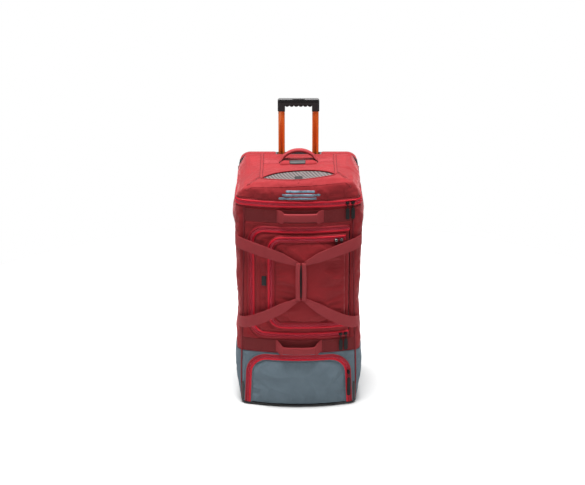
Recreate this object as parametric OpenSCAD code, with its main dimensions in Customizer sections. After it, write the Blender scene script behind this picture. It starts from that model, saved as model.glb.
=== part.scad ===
// Rolling duffel bag that stands on end: three zipped compartments, a pull-out trolley and two wheels.
// The origin is the middle of the footprint, on the floor, straps and wheels included.
// +Z is up and the bag's front, where its doors are, faces -Y.

/* [Case] */
// Width across the side panels
case_w = 410; // [390:1:430]
// Foremost line of the bowed front
front_y = -177; // [-185:1:-170]
// Outer face of the back panel
back_y = 196; // [190:1:200]
// Top of the lid above the floor
case_h = 797; // [780:1:830]
// Radius of the bow of the front, seen from above
bow_r = 557; // [480:1:700]
// Radius of the front upright corners
front_corner_r = 32; // [20:1:45]
// Radius of the back upright corners
rear_corner_r = 30; // [20:1:32]
// Thickness of a padded fabric panel
wall = 3; // [2.5:0.1:4]

/* [Zips and doors] */
// Width of the zip tape on each side of the teeth
tape_w = 12; // [9:0.5:14]
// Thickness of the zip tape
tape_t = 1.5; // [1:0.1:2]
// Height of the lid's zip above the floor
lid_zip_z = 728; // [720:1:734]
// Radius of the lid's top edge
lid_edge_r = 28; // [12:1:32]
// Bottom and top of the main door's zip
main_zip_z = [264, 640]; // [255:1:645]
// Left end and hinge line of the main door
main_zip_x = [-151, 168]; // [-155:1:170]
// Bottom and top of the front pocket's zip
pocket_zip_z = [302, 608]; // [295:1:615]
// Left and right ends of the front pocket's zip
pocket_zip_x = [-97, 154]; // [-105:1:156]
// How far the front pocket stands out from the main door
pocket_depth = 6; // [5:0.5:8]
// Width of the base door's zip at its top
base_zip_w = 330; // [320:1:334]
// Height of the base door's zip above the floor
base_zip_z = 182; // [175:1:184]
// How much wider the base door is at its bottom, as a share
base_flare = 0.05; // [0:0.01:0.05]

/* [Webbing and handles] */
// Width of the sewn webbing
webbing_w = 45; // [38:1:50]
// Thickness of the sewn webbing
webbing_t = 1.8; // [1.2:0.1:2.5]
// Height of the upper webbing band's middle
upper_band_z = 686; // [684:1:688]
// Height of the lower webbing band's middle
lower_band_z = 225; // [224:1:227]
// Heights of the carry straps' ends on the sides
strap_root_z = [303, 589]; // [300:1:595]
// Span of a front grab handle
grab_span = 150; // [140:1:160]
// How far a front grab handle stands out
grab_reach = 15; // [13:0.5:17]
// Height of the lid handle's arch
lid_handle_h = 41; // [38:1:48]

/* [Trolley] */
// Height of the grip's top with the trolley pulled out
grip_top_z = 987; // [980:1:1000]
// Travel of the trolley
trolley_travel = 170; // [150:1:175]
// Distance of each tube from the middle
tube_x = 58; // [54:1:62]
// Middle of the tubes, front to back
tube_y = 181.5; // [181:0.1:182]
// Width and depth of a sliding tube
tube_size = [22, 16]; // [15:0.5:23]
// Wall of a tube
tube_wall = 1.3; // [1:0.1:1.6]
// Gap between a sliding tube and its sleeve
tube_gap = 0.4; // [0.3:0.05:0.6]
// Width and depth of the grip
grip_size = [142, 26]; // [25:1:143]
// Travel of the release button
button_travel = 4; // [3:0.5:4]

/* [Wheels and base] */
// Radius of a wheel
wheel_r = 45; // [42:1:46]
// Width of a wheel
wheel_w = 28; // [24:1:30]
// Distance of each wheel from the middle
wheel_x = 178; // [176:1:180]
// Middle of the wheels, front to back
wheel_y = 157; // [155:1:158]
// Radius of the axle
axle_r = 4; // [3:0.5:5]
// Underside of the base tray above the floor
tray_z = 8; // [6:1:10]

/* [Hidden] */

reach = 400;                     // longer than any cut has to be
half_w = case_w / 2;
bow_y = front_y + bow_r;         // middle of the circle that the front is bowed on
corner_y = bow_y - sqrt(pow(bow_r - front_corner_r, 2) - pow(half_w - front_corner_r, 2));
bow_angle = asin((half_w - front_corner_r) / (bow_r - front_corner_r));
seam_x = 190;                    // upright seams between the front and the sides
side_seam_y = 168;               // upright seams between the sides and the back
split_z = 200;                   // seam between the red case and the grey base
floor_z = tray_z + 4;            // top of the base tray's floor
tape_gap = 0.3;                  // from the zip's middle to each row of teeth
lid_back = 163;                  // rear edge of the lid, at its fabric hinge
frame_top = case_h - 3;          // top of the moulded frame behind the lid
frame_low = 755;
frame_corner_r = 40;
side_gap_z = lid_zip_z - tape_w; // top edge of the fixed panels
lid_low = lid_zip_z + tape_w;    // bottom edge of the lid's panels
base_hinge_z = floor_z + 4;
grip_low = grip_top_z - 22;      // underside of the grip's bar
leg_low = grip_top_z - 41;       // underside of the grip's two legs
tube_low = 550;
sleeve_top = 767;
sleeve_low = 48;
bearing_r = 11;
bearing_w = 7;
lid_slider_x = [160, 178];
main_slider_x = [141, 158];
pocket_slider_x = [124, 141];
base_slider_z = [91, 122];

// Where the base door's right leg of zip is at height z.
function base_leg(z) = base_zip_w / 2 * (1 + base_flare * (base_zip_z - z) / (base_zip_z - base_hinge_z));

screw_x = [-130, 130];
housing = [152, 206, 100, 198, 103];   // inner x, outer x, front y, back y, top z

red = "indianred";
zip_red = "crimson";
webbing_red = "brown";
slate = "lightslategray";
charcoal = "dimgray";
black = "black";
orange = "orangered";
steel = "silver";

// ---------- shared shapes ----------

function arc(cx, cy, r, t0, t1, n) =
    [for (k = [0:n]) let (t = t0 + (t1 - t0) * k / n) [cx + r * sin(t), cy - r * cos(t)]];

// Outline of the case seen from above, moved in by i. back and rear set its rear edge and corners.
function outline(i, back = back_y, rear = rear_corner_r) = concat(
    arc(0, bow_y, bow_r - i, -bow_angle, bow_angle, 14),
    arc(half_w - front_corner_r, corner_y, front_corner_r - i, bow_angle + 9, 90, 5),
    arc(half_w - rear, back - rear, rear - i, 90, 180, 5),
    arc(rear - half_w, back - rear, rear - i, 180, 270, 5),
    arc(front_corner_r - half_w, corner_y, front_corner_r - i, 270, 351 - bow_angle, 5)
);

// The bowed front's y at x, moved out by d.
function front_at(x, d = 0) = bow_y - sqrt(pow(bow_r + d, 2) - x * x);

// A door's outline: square at the bottom, two rounded corners at the top, wider at the bottom by flare.
function arch(w, h, r, lift, flare = 0) = [
    for (p = concat(
        [[-w / 2, lift]],
        [for (k = [0:7]) let (t = 90 * k / 7) [r - w / 2 - r * cos(t), h - r + r * sin(t)]],
        [for (k = [0:7]) let (t = 90 * k / 7) [w / 2 - r + r * sin(t), h - r + r * cos(t)]],
        [[w / 2, lift]]
    ))
        [p[0] * (1 + flare * (1 - p[1] / h)), p[1]]
];

function rounded(w, d, r, n = 4) = [
    for (q = [0:3], k = [0:n])
        let (t = 90 * (q + k / n), sx = (q == 0 || q == 3) ? 1 : -1, sy = q < 2 ? 1 : -1)
        [sx * (w / 2 - r) + r * cos(t), sy * (d / 2 - r) + r * sin(t)]
];

function unit(v) = v / norm(v);

module block(x, y, z) {
    translate([x[0], y[0], z[0]]) cube([x[1] - x[0], y[1] - y[0], z[1] - z[0]]);
}

module slab(z0, z1, i, back = back_y) {
    translate([0, 0, z0]) linear_extrude(z1 - z0) polygon(outline(i, back));
}

// A band of the case's upright wall, from i0 to i1 inside the outline.
module wall_band(z0, z1, i0 = 0, i1 = wall) {
    difference() {
        slab(z0, z1, i0);
        slab(z0 - 1, z1 + 1, i1);
    }
}

module front_half(x0 = -reach, x1 = reach) {
    block([x0, x1], [-reach, -60], [-1, 1000]);
}

// Prism through the front with a door's outline, moved in by i. turn 90 lays its top to the left.
module door_prism(w, h, r, x, z, turn, i = 0, lift = 0, flare = 0) {
    translate([x, 0, z]) rotate([90, 0, 0]) linear_extrude(reach)
        rotate(turn) polygon(arch(w - 2 * i, h - i, r - i, lift, flare));
}

module main_prism(i = 0, lift = 0) {
    door_prism(main_zip_z[1] - main_zip_z[0], main_zip_x[1] - main_zip_x[0], 45,
        main_zip_x[1], (main_zip_z[0] + main_zip_z[1]) / 2, 90, i, lift);
}

module pocket_prism(i = 0, lift = 0) {
    door_prism(pocket_zip_z[1] - pocket_zip_z[0], pocket_zip_x[1] - pocket_zip_x[0], 38,
        pocket_zip_x[1], (pocket_zip_z[0] + pocket_zip_z[1]) / 2, 90, i, lift);
}

module base_prism(i = 0, lift = 0) {
    door_prism(base_zip_w, base_zip_z - base_hinge_z, 60, 0, base_hinge_z, 0, i, lift, base_flare);
}

// Puts a child on the bowed front: its -Y then points straight out.
module on_front(x, z, d = 0) {
    translate([x, front_at(x, d), z]) rotate(asin(x / (bow_r + d))) children();
}

// A flat strap. Each station is [point, width direction, thickness direction, width, thickness].
module ribbon(stations) {
    n = len(stations);
    points = [
        for (s = stations)
            let (a = s[1] * s[3] / 2, b = s[2] * s[4] / 2)
            each [s[0] + a + b, s[0] + a - b, s[0] - a - b, s[0] - a + b]
    ];
    sides = [
        for (k = [0:n - 2], j = [0:3])
            let (p = 4 * k + j, q = 4 * k + (j + 1) % 4)
            each [[p, q, p + 4], [q, q + 4, p + 4]]
    ];
    last = 4 * (n - 1);
    ends = [[3, 2, 1], [3, 1, 0], [last, last + 1, last + 2], [last, last + 2, last + 3]];
    polyhedron(points, concat(sides, ends));
}

module mirrored() {
    children();
    mirror([1, 0, 0]) children();
}

module along_x(x, y, z, h, r) {
    translate([x, y, z]) rotate([0, 90, 0]) cylinder(h = h, r = r, $fn = 48);
}

// ---------- base, wheels and back ----------

module base_tray() color(charcoal) {
    difference() {
        union() {
            slab(tray_z, floor_z, 0);
            wall_band(tray_z, floor_z + 2, -2, 0);
            mirrored() intersection() {
                wall_band(floor_z, 70, -2, 0);
                block([181, 193], [-reach, -60], [0, 80]);
            }
        }
        mirrored() block([housing[0], reach], [housing[2], reach], [0, 200]);
        for (x = screw_x, dx = [-20, 20]) translate([x + dx, -130, 0]) cylinder(h = 30, r = 2.05, $fn = 24);
    }
}

module base_feet() color(black) {
    for (x = screw_x) difference() {
        translate([x, -130, 0]) linear_extrude(tray_z) polygon(rounded(64, 32, 8));
        for (dx = [-20, 20]) translate([x + dx, -130, 3]) cylinder(h = 20, r = 2.05, $fn = 24);
    }
}

module case_screws() color(steel) {
    for (x = screw_x, dx = [-20, 20]) translate([x + dx, -130, 0]) {
        translate([0, 0, 4]) cylinder(h = floor_z - 4, r = 2, $fn = 24);
        translate([0, 0, floor_z]) cylinder(h = 2.2, r = 4, $fn = 24);
    }
    for (x = [-165, -100, 100, 165]) translate([x, 0, 775]) rotate([-90, 0, 0])
        translate([0, 0, back_y]) cylinder(h = 1.8, r = 4, $fn = 24);
}

module wheel_housings() color(charcoal) mirrored() difference() {
    block([housing[0], housing[1]], [housing[2], housing[3]], [tray_z, housing[4]]);
    along_x(wheel_x - wheel_w / 2 - 3, wheel_y, wheel_r, wheel_w + 6, wheel_r + 5);
    block([wheel_x - wheel_w / 2 - 3, wheel_x + wheel_w / 2 + 3],
        [wheel_y - wheel_r - 5, reach], [0, wheel_r]);
    block([wheel_x - wheel_w / 2 - 3, wheel_x + wheel_w / 2 + 3],
        [wheel_y, reach], [0, wheel_r + 28]);
    along_x(housing[0] - 1, wheel_y, wheel_r, 60, axle_r);
    translate([housing[1], back_y + 2, housing[4]]) rotate([45, 0, 0])
        cube([120, 40, 40], center = true);
}

module wheel_axles() color(steel) mirrored() {
    along_x(housing[0] - 3, wheel_y, wheel_r, housing[1] - housing[0] + 3, axle_r);
    along_x(housing[0] - 6, wheel_y, wheel_r, 3, 7);
    along_x(housing[1], wheel_y, wheel_r, 2.5, 7);
}

module wheel_bearings() color(steel) mirrored() {
    for (x = [wheel_x - wheel_w / 2 + 1, wheel_x + wheel_w / 2 - 1 - bearing_w]) difference() {
        along_x(x, wheel_y, wheel_r, bearing_w, bearing_r);
        along_x(x - 1, wheel_y, wheel_r, bearing_w + 2, axle_r);
    }
}

module tyre() {
    translate([wheel_x, wheel_y, wheel_r]) rotate([0, 90, 0]) rotate_extrude($fn = 96)
        polygon([
            [wheel_r - 10, -wheel_w / 2 + 2], [wheel_r - 5, -wheel_w / 2], [wheel_r - 1.5, -wheel_w / 2 + 2.5],
            [wheel_r, -wheel_w / 2 + 7], [wheel_r, wheel_w / 2 - 7], [wheel_r - 1.5, wheel_w / 2 - 2.5],
            [wheel_r - 5, wheel_w / 2], [wheel_r - 10, wheel_w / 2 - 2]
        ]);
}

module wheel_hub() {
    translate([wheel_x, wheel_y, wheel_r]) rotate([0, 90, 0]) difference() {
        rotate_extrude($fn = 96) polygon([
            [bearing_r + 0.05, -wheel_w / 2 + 1], [bearing_r + 5, -wheel_w / 2 + 1], [bearing_r + 6, -4],
            [wheel_r - 15, -4], [wheel_r - 14, -wheel_w / 2 + 2], [wheel_r - 10, -wheel_w / 2 + 2],
            [wheel_r - 10, wheel_w / 2 - 2], [wheel_r - 14, wheel_w / 2 - 2], [wheel_r - 15, 4],
            [bearing_r + 6, 4], [bearing_r + 5, wheel_w / 2 - 1], [bearing_r + 0.05, wheel_w / 2 - 1]
        ]);
        for (k = [0:5]) rotate(60 * k) translate([23.5, 0, -10]) cylinder(h = 20, r = 4.2, $fn = 32);
    }
}

module back_panel() color(charcoal) difference() {
    intersection() {
        wall_band(floor_z, frame_low);
        block([-reach, reach], [side_seam_y, reach], [0, 1000]);
    }
    mirrored() block([housing[0], reach], [housing[2], reach], [0, housing[4] + 1]);
}

module skid_rails() color(charcoal) {
    mirrored() translate([118, back_y, 110]) rotate([-90, 0, 0]) translate([0, -165, 0])
        linear_extrude(6) polygon(rounded(20, 330, 9));
    translate([0, back_y, 90]) rotate([-90, 0, 0]) linear_extrude(5) polygon(rounded(150, 26, 10));
}

module sleeve_outline(grow) polygon(rounded(tube_size[0] + 2 * grow, tube_size[1] + 2 * grow, 5 + grow));

module trolley_sleeves() color("gray") mirrored() translate([tube_x, tube_y, sleeve_low])
    linear_extrude(sleeve_top - sleeve_low) difference() {
        sleeve_outline(tube_gap + tube_wall);
        sleeve_outline(tube_gap);
    }

module trolley_bracket() color(charcoal) difference() {
    block([-80, 80], [side_seam_y + 2.3, back_y - wall], [floor_z, sleeve_low + 22]);
    mirrored() translate([tube_x, tube_y, sleeve_low]) linear_extrude(40)
        sleeve_outline(tube_gap + tube_wall);
    block([-42, 42], [0, back_y - wall - 3], [floor_z + 4, sleeve_low + 18]);
}

// The case seen from behind with its two top corners rounded, moved in by i.
module frame_face(i) {
    translate([0, reach, 700]) rotate([90, 0, 0]) linear_extrude(reach)
        polygon(arch(case_w - 2 * i, frame_top - 700 - i, frame_corner_r - i, 0));
}

module top_frame() color(charcoal) difference() {
    intersection() {
        slab(frame_low, frame_top, 0);
        block([-reach, reach], [lid_back + 1, reach], [0, 1000]);
        frame_face(0);
    }
    mirrored() intersection() {
        slab(frame_low - 1, frame_top, 3);
        block([84, reach], [lid_back + 4, reach], [0, 1000]);
        frame_face(3);
    }
    block([-grip_size[0] / 2 - 2, grip_size[0] / 2 + 2],
        [tube_y - grip_size[1] / 2 - 1, tube_y + grip_size[1] / 2 - 1.4], [sleeve_top + 2, 1000]);
    translate([0, tube_y, sleeve_top + 2]) linear_extrude(60)
        polygon(rounded(grip_size[0] + 4, grip_size[1] + 2, 6));
    mirrored() translate([tube_x, tube_y, 0]) {
        linear_extrude(sleeve_top) sleeve_outline(tube_gap + tube_wall);
        linear_extrude(reach * 2) sleeve_outline(tube_gap);
    }
    block([-38, 38], [lid_back + 4, back_y - 3], [frame_low - 1, sleeve_top - 1]);
}

// ---------- fabric case ----------

module side_region(y0, y1) {
    mirrored() block([seam_x, reach], [y0, y1], [-1, 1000]);
}

module side_panels() color(red) intersection() {
    wall_band(split_z, side_gap_z);
    side_region(-reach, side_seam_y);
}

module lower_side_panels() color(slate) difference() {
    intersection() {
        wall_band(floor_z, split_z);
        side_region(-reach, side_seam_y);
    }
    mirrored() block([housing[0], reach], [housing[2], reach], [0, housing[4] + 1]);
}

module front_frame(z0, z1) difference() {
    intersection() {
        wall_band(z0, z1);
        front_half(-seam_x, seam_x);
    }
    main_prism(-tape_w, -2.5);
}

module front_upper_panel() color(red) front_frame(main_zip_z[1] + tape_w, side_gap_z);

module front_side_strips() color(red) front_frame(main_zip_z[0] - tape_w, main_zip_z[1] + tape_w);

module front_lower_panel() color(red) front_frame(split_z, main_zip_z[0] - tape_w);

module base_front_panel() color(slate) difference() {
    intersection() {
        wall_band(floor_z, split_z);
        front_half(-seam_x, seam_x);
    }
    base_prism(-tape_w, -10);
}

module lining_floor(z) {
    intersection() {
        slab(z, z + 2.5, wall);
        block([-reach, reach], [-reach, side_seam_y], [0, 1000]);
    }
}

module inner_lining() color(charcoal) {
    lining_floor(split_z - 1);
    lining_floor(side_gap_z - 4);
    difference() {
        block([-half_w + wall + 1, half_w - wall - 1], [side_seam_y, side_seam_y + 2], [floor_z, frame_low]);
        mirrored() block([housing[0] - 1, reach], [0, reach], [0, housing[4] + 1]);
    }
}

module front_band(z) intersection() {
    wall_band(z - webbing_w / 2, z + webbing_w / 2, -webbing_t, 0);
    front_half(-seam_x, seam_x);
}

module front_webbing() color(webbing_red) {
    front_band(upper_band_z);
    front_band(lower_band_z);
}

// A grab handle: [share of the half span, reach, width, thickness] at each station.
grab_shape = [[-1, 1.6, 42, 3], [-0.86, 10, 42, 3], [-0.72, 15, 34, 5], [-0.6, 15, 31, 6], [0.6, 15, 31, 6],
    [0.72, 15, 34, 5], [0.86, 10, 42, 3], [1, 1.6, 42, 3]];

module grab_handle(z, drop, middle) ribbon([
    for (s = grab_shape)
        let (x = middle + s[0] * grab_span / 2, d = webbing_t + s[1] * grab_reach / 15, a = asin(x / bow_r))
        [[x, front_at(x, d), z - drop * (1 - s[0] * s[0])], [0, 0, 1], [sin(a), -cos(a), 0], s[2], s[3]]
]);

module front_grab_handles() color(webbing_red) {
    grab_handle(upper_band_z + 1, 0, 6);
    grab_handle(lower_band_z, 8, 1);
}

module side_webbing() color(webbing_red) for (z = strap_root_z) intersection() {
    wall_band(z - webbing_w / 2, z + webbing_w / 2, -webbing_t, 0);
    side_region(-100, side_seam_y - 3);
}

// Point at share t of a curve with four control points.
function curve(c, t) =
    pow(1 - t, 3) * c[0] + 3 * t * pow(1 - t, 2) * c[1] + 3 * pow(t, 2) * (1 - t) * c[2] + pow(t, 3) * c[3];

// One arm of a carry strap, from the fold on the side to the grip. root is the fold's height,
// lean how far the arm runs up or down before the grip, and grip the grip's [x, y].
function strap_arm(root, lean, grip) = [
    for (k = [0:arm_steps])
        let (t = k / arm_steps, fold = strap_fold)
        curve([
            [fold[0], fold[1], root], [fold[0], fold[1] - 65, root],
            [fold[0] - 44, grip[1] + 9, root + 0.08 * lean], [grip[0] + 16, grip[1] + 1, root + 0.8 * lean]
        ], t)
];

arm_steps = 12;
strap_fold = [208.6, -103];
strap_lean = [80, -66];          // of the lower and the upper arm

// Carry strap: two arms that narrow towards one upright grip. edge_on turns the grip's face aside.
module carry_strap(grip, edge_on) {
    low = strap_arm(strap_root_z[0], strap_lean[0], grip);
    high = strap_arm(strap_root_z[1], strap_lean[1], grip);
    ends = [strap_root_z[0] + strap_lean[0] + 16, strap_root_z[1] + strap_lean[1] - 16];
    p = concat(low, [for (z = [ends[0], ends[0] + 14, ends[1] - 14, ends[1]]) [grip[0], grip[1], z]],
        [for (k = [arm_steps:-1:0]) high[k]]);
    n = len(p);
    ribbon([
        for (k = [0:n - 1])
            let (j = min(k, n - 1 - k), t = min(j / arm_steps, 1), turn = max(0, min(j - arm_steps, 1)),
                out = j < 4 ? [1, -j / 3, 0] : [0.12 + edge_on * turn * 1.6, -1, 0],
                tangent = unit(p[min(k + 1, n - 1)] - p[max(k - 1, 0)]),
                across = unit(cross(unit(out), tangent)))
            [p[k], across, unit(cross(tangent, across)),
                webbing_w - (webbing_w - 17) * pow(t, 5), 3 + 2 * pow(t, 8)]
    ]);
}

module door_tape(i0, i1, kind, lift0 = 0, lift1 = -20) intersection() {
    wall_band(floor_z + 1, case_h, 0, tape_t);
    difference() {
        if (kind == "main") main_prism(i0, lift0); else base_prism(i0, lift0);
        if (kind == "main") main_prism(i1, lift1); else base_prism(i1, lift1);
    }
}

module fixed_zip_tapes() color(zip_red) {
    intersection() {
        wall_band(side_gap_z, lid_zip_z - tape_gap, 0, tape_t);
        block([-reach, reach], [-reach, lid_back], [0, 1000]);
    }
    door_tape(-tape_w, -tape_gap, "main");
    door_tape(-tape_w, -tape_gap, "base");
}

// ---------- lid ----------

lid_steps = 6;

function lid_profile(i) = concat(
    [[i, lid_low]],
    [for (k = [0:lid_steps]) let (t = 90 * k / lid_steps)
        [lid_edge_r - (lid_edge_r - i) * cos(t), case_h - lid_edge_r + (lid_edge_r - i) * sin(t)]]
);

// A closed solid through the lid's rings. drop lowers the first ring, and back sets the rear edge.
module lid_solid(i, drop, back) {
    profile = lid_profile(i);
    m = len(profile);
    rings = [for (s = profile) outline(s[0], back + s[0], 6 + s[0])];
    n = len(rings[0]);
    points = [
        for (k = [0:m - 1], p = rings[k])
            [p[0], p[1], profile[k][1] - (k == 0 ? drop : 0)]
    ];
    sides = [
        for (k = [0:m - 2], j = [0:n - 1])
            let (a = k * n + j, b = k * n + (j + 1) % n)
            each [[a, a + n, b], [b, a + n, b + n]]
    ];
    bottom = [for (j = [0:n - 1]) j];
    top = [for (j = [n - 1:-1:0]) (m - 1) * n + j];
    polyhedron(points, concat(sides, [bottom, top]));
}

vent_half = [118, 55];           // half length and half width of the lens-shaped vent
vent_y = -92;
vent_r = (pow(vent_half[0], 2) + pow(vent_half[1], 2)) / (2 * vent_half[1]);

module vent_lens(z0, z1, grow) intersection() {
    aside = vent_r - vent_half[1];
    translate([0, vent_y - aside, z0]) cylinder(h = z1 - z0, r = vent_r + grow, $fn = 160);
    translate([0, vent_y + aside, z0]) cylinder(h = z1 - z0, r = vent_r + grow, $fn = 160);
}

module lid_shell() color(red) difference() {
    lid_solid(0, 0, lid_back);
    lid_solid(wall, 1, lid_back + 12);
    vent_lens(case_h - 30, case_h + 5, 0);
}

module vent_mesh() color("darkgray") vent_lens(case_h - wall - 1.4, case_h - wall - 0.1, 3);

module lid_handle() color(webbing_red) {
    handle_y = 84;
    mirrored() block([63, 121], [handle_y - 20, handle_y + 20], [case_h, case_h + 1.8]);
    ribbon([
        for (k = [0:14])
            let (t = -1 + k / 7, x = 66 * t, z = case_h + 3.4 + (lid_handle_h - 4) * (1 - pow(abs(t), 2.3)))
            [[x, handle_y, z], [0, 1, 0], unit([0.9 * t * abs(t), 0, 1]), abs(t) > 0.8 ? 34 : 26, 4]
    ]);
    block([-60, 60], [handle_y - 26, handle_y + 38], [case_h, case_h + 5]);
}

module lid_zip_tape() color(zip_red) intersection() {
    wall_band(lid_zip_z + tape_gap, lid_low, 0, tape_t);
    block([-reach, reach], [-reach, lid_back], [0, 1000]);
}

// ---------- doors ----------

module main_door_panel() color(red) intersection() {
    wall_band(0, case_h);
    main_prism(tape_w, 2);
}

module pocket_panel() color(red) intersection() {
    difference() {
        wall_band(0, case_h, -pocket_depth, 0);
        intersection() {
            wall_band(0, case_h, 2.5 - pocket_depth, 0);
            pocket_prism(tape_w, 3);
        }
    }
    pocket_prism(9, 0);
}

module main_door_zip_tapes() color(zip_red) {
    door_tape(tape_gap, tape_w, "main", 2);
    intersection() {
        wall_band(0, case_h, -pocket_depth, 0);
        difference() {
            pocket_prism(0, 0);
            pocket_prism(9, -20);
        }
    }
}

module base_door_panel() color(slate) intersection() {
    wall_band(0, split_z);
    base_prism(tape_w, 0.5);
}

module base_door_zip_tape() color(zip_red) door_tape(tape_gap, tape_w, "base", 0.5);

// ---------- zip sliders and pulls ----------

// A slider on a level zip: its body, its post and the post's head. The pull's ring hangs on the post.
// tall makes the body that much deeper.
module slider(tall = 0) {
    translate([0, -0.5, 0]) rotate([90, 0, 0]) linear_extrude(4.3 + tall) polygon(rounded(13, 9, 3));
    translate([0, -4.8 - tall, 0]) rotate([90, 0, 0]) cylinder(h = 4, r = 1.1, $fn = 24);
    translate([0, -8.6 - tall, 0]) rotate([90, 0, 0]) cylinder(h = 0.9, r = 2, $fn = 24);
}

end_slider_rise = 5.5;           // lifts the upper pull over the lower slider

module upright_slider(tall = 0) rotate([0, 90, 0]) slider(tall);

// A pull of that length under its slider: a ring, a doubled cord and a moulded tab.
module pull(length) {
    translate([0, -6.7, 0]) {
        rotate([90, 0, 0]) rotate_extrude($fn = 40) translate([3.4, 0]) circle(r = 0.9, $fn = 20);
        for (x = [-1.6, 1.6]) translate([x, 0, -20]) cylinder(h = 16.8, r = 0.9, $fn = 20);
        translate([0, 1.6, -20 - (length - 20) / 2]) rotate([90, 0, 0]) linear_extrude(3.2)
            polygon(rounded(10, length - 20, 3.5));
    }
}

module on_base_leg(z) on_front(base_leg(z), z) children();

module lid_slider() color(black) on_front(lid_slider_x[0], lid_zip_z) slider();
module lid_end_slider() color(black) on_front(lid_slider_x[1], lid_zip_z) slider();
module main_slider() color(black) on_front(main_slider_x[0], main_zip_z[0]) slider();
module pocket_slider() color(black) on_front(pocket_slider_x[0], pocket_zip_z[1] - 4, pocket_depth) slider();
module base_slider() color(black) on_base_leg(base_slider_z[0]) upright_slider();
module base_end_slider() color(black) on_base_leg(base_slider_z[1]) upright_slider(end_slider_rise);
module door_end_sliders() color(black) {
    on_front(main_slider_x[1], main_zip_z[0]) slider();
    on_front(pocket_slider_x[1], pocket_zip_z[1] - 4, pocket_depth) slider();
}

module lid_pull() color(black) on_front(lid_slider_x[0], lid_zip_z) pull(56);
module lid_end_pull() color(black) on_front(lid_slider_x[1], lid_zip_z) pull(56);
module main_pull() color(black) on_front(main_slider_x[0], main_zip_z[0]) pull(58);
module main_end_pull() color(black) on_front(main_slider_x[1], main_zip_z[0]) pull(58);
module pocket_pull() color(black) on_front(pocket_slider_x[0], pocket_zip_z[1] - 4, pocket_depth) pull(52);
module pocket_end_pull() color(black) on_front(pocket_slider_x[1], pocket_zip_z[1] - 4, pocket_depth) pull(52);
module base_pull() color(black) on_base_leg(base_slider_z[0]) pull(56);
module base_end_pull() color(black) on_base_leg(base_slider_z[1]) translate([0, -end_slider_rise, 0]) pull(62);

// ---------- trolley ----------

module sliding_tubes() color(orange) mirrored() translate([tube_x, tube_y, 0]) difference() {
    translate([0, 0, tube_low]) linear_extrude(grip_low - 5 - tube_low) sleeve_outline(0);
    translate([0, 0, tube_low - 1]) linear_extrude(350) sleeve_outline(-tube_wall);
    translate([0, 0, tube_low + 353]) linear_extrude(80) sleeve_outline(-tube_wall);
    cylinder(h = 1000, r = 2.4, $fn = 24);
    translate([0, 0, 578]) rotate([90, 0, 0]) cylinder(h = 20, r = 3.1, $fn = 32);
}

module tube_guides() color(black) mirrored() translate([tube_x, tube_y, tube_low - 10])
    linear_extrude(10) sleeve_outline(tube_gap - 0.1);

module grip_outline(grow) polygon(rounded(grip_size[0] + grow, grip_size[1] + grow, 7));

module grip_cover() color(black) difference() {
    translate([0, tube_y, grip_top_z - 10]) {
        linear_extrude(7) grip_outline(0);
        translate([0, 0, 7]) linear_extrude(3) grip_outline(-4);
    }
    block([-64, 64], [tube_y - 6, tube_y + 6], [grip_top_z - 11, grip_top_z - 4]);
    translate([0, tube_y, grip_top_z - 5]) linear_extrude(20) polygon(rounded(42.6, 12.6, 5));
}

module grip_body() color(black) difference() {
    union() {
        translate([0, tube_y, grip_low + 3]) linear_extrude(9) grip_outline(0);
        intersection() {
            translate([0, tube_y, leg_low]) linear_extrude(30) grip_outline(0);
            mirrored() block([46, reach], [0, reach], [leg_low, grip_low + 3]);
        }
        intersection() {
            block([-47, 47], [tube_y - 11, tube_y + 11], [grip_low - 3, grip_low + 3]);
            for (k = [-2.5:1:2.5]) translate([15.6 * k, 0, grip_low + 6]) rotate([-90, 0, 0])
                cylinder(h = reach, r = 9, $fn = 48);
        }
    }
    mirrored() translate([tube_x, tube_y, 0]) linear_extrude(grip_low - 5) sleeve_outline(0);
    block([-64, 64], [tube_y - 6, tube_y + 6], [grip_low + 4, grip_top_z]);
    mirrored() translate([tube_x, tube_y, 900]) cylinder(h = 100, r = 2.5, $fn = 24);
}

module release_button() color(black) {
    translate([0, tube_y, grip_top_z - 7]) linear_extrude(8.5) polygon(rounded(42, 12, 4.7));
    block([-62, 62], [tube_y - 5, tube_y + 5], [grip_top_z - 12, grip_top_z - 7]);
    mirrored() translate([tube_x, tube_y, 592]) cylinder(h = grip_top_z - 12 - 592, r = 2, $fn = 24);
    mirrored() translate([tube_x, tube_y, 930]) cylinder(h = 2, r = 5, $fn = 32);
}

spring_low = tube_low + 353;
spring_turns = 6;
spring_sides = 6;

function coil_point(t, j) = let (a = 360 * t, b = 360 * j / spring_sides, r = 4 + 0.55 * cos(b))
    [r * cos(a), r * sin(a), spring_low + 0.6 + (930 - spring_low - 1.2) * t / spring_turns + 0.55 * sin(b)];

module coil_spring() {
    steps = spring_turns * 12;
    s = spring_sides;
    points = [for (k = [0:steps], j = [0:s - 1]) coil_point(k / 12, j)];
    sides = [
        for (k = [0:steps - 1], j = [0:s - 1])
            let (a = k * s + j, b = k * s + (j + 1) % s)
            each [[a, b, a + s], [b, b + s, a + s]]
    ];
    caps = [[for (j = [s - 1:-1:0]) j], [for (j = [0:s - 1]) steps * s + j]];
    polyhedron(points, concat(sides, caps));
}

module button_springs() color(steel) mirrored() translate([tube_x, tube_y, 0]) coil_spring();

module lock_pins() color(steel) mirrored() translate([tube_x, tube_y - tube_size[1] / 2 + 7, 578])
    rotate([90, 0, 0]) cylinder(h = 7, r = 3, $fn = 32);

// ---------- the nodes ----------

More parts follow.
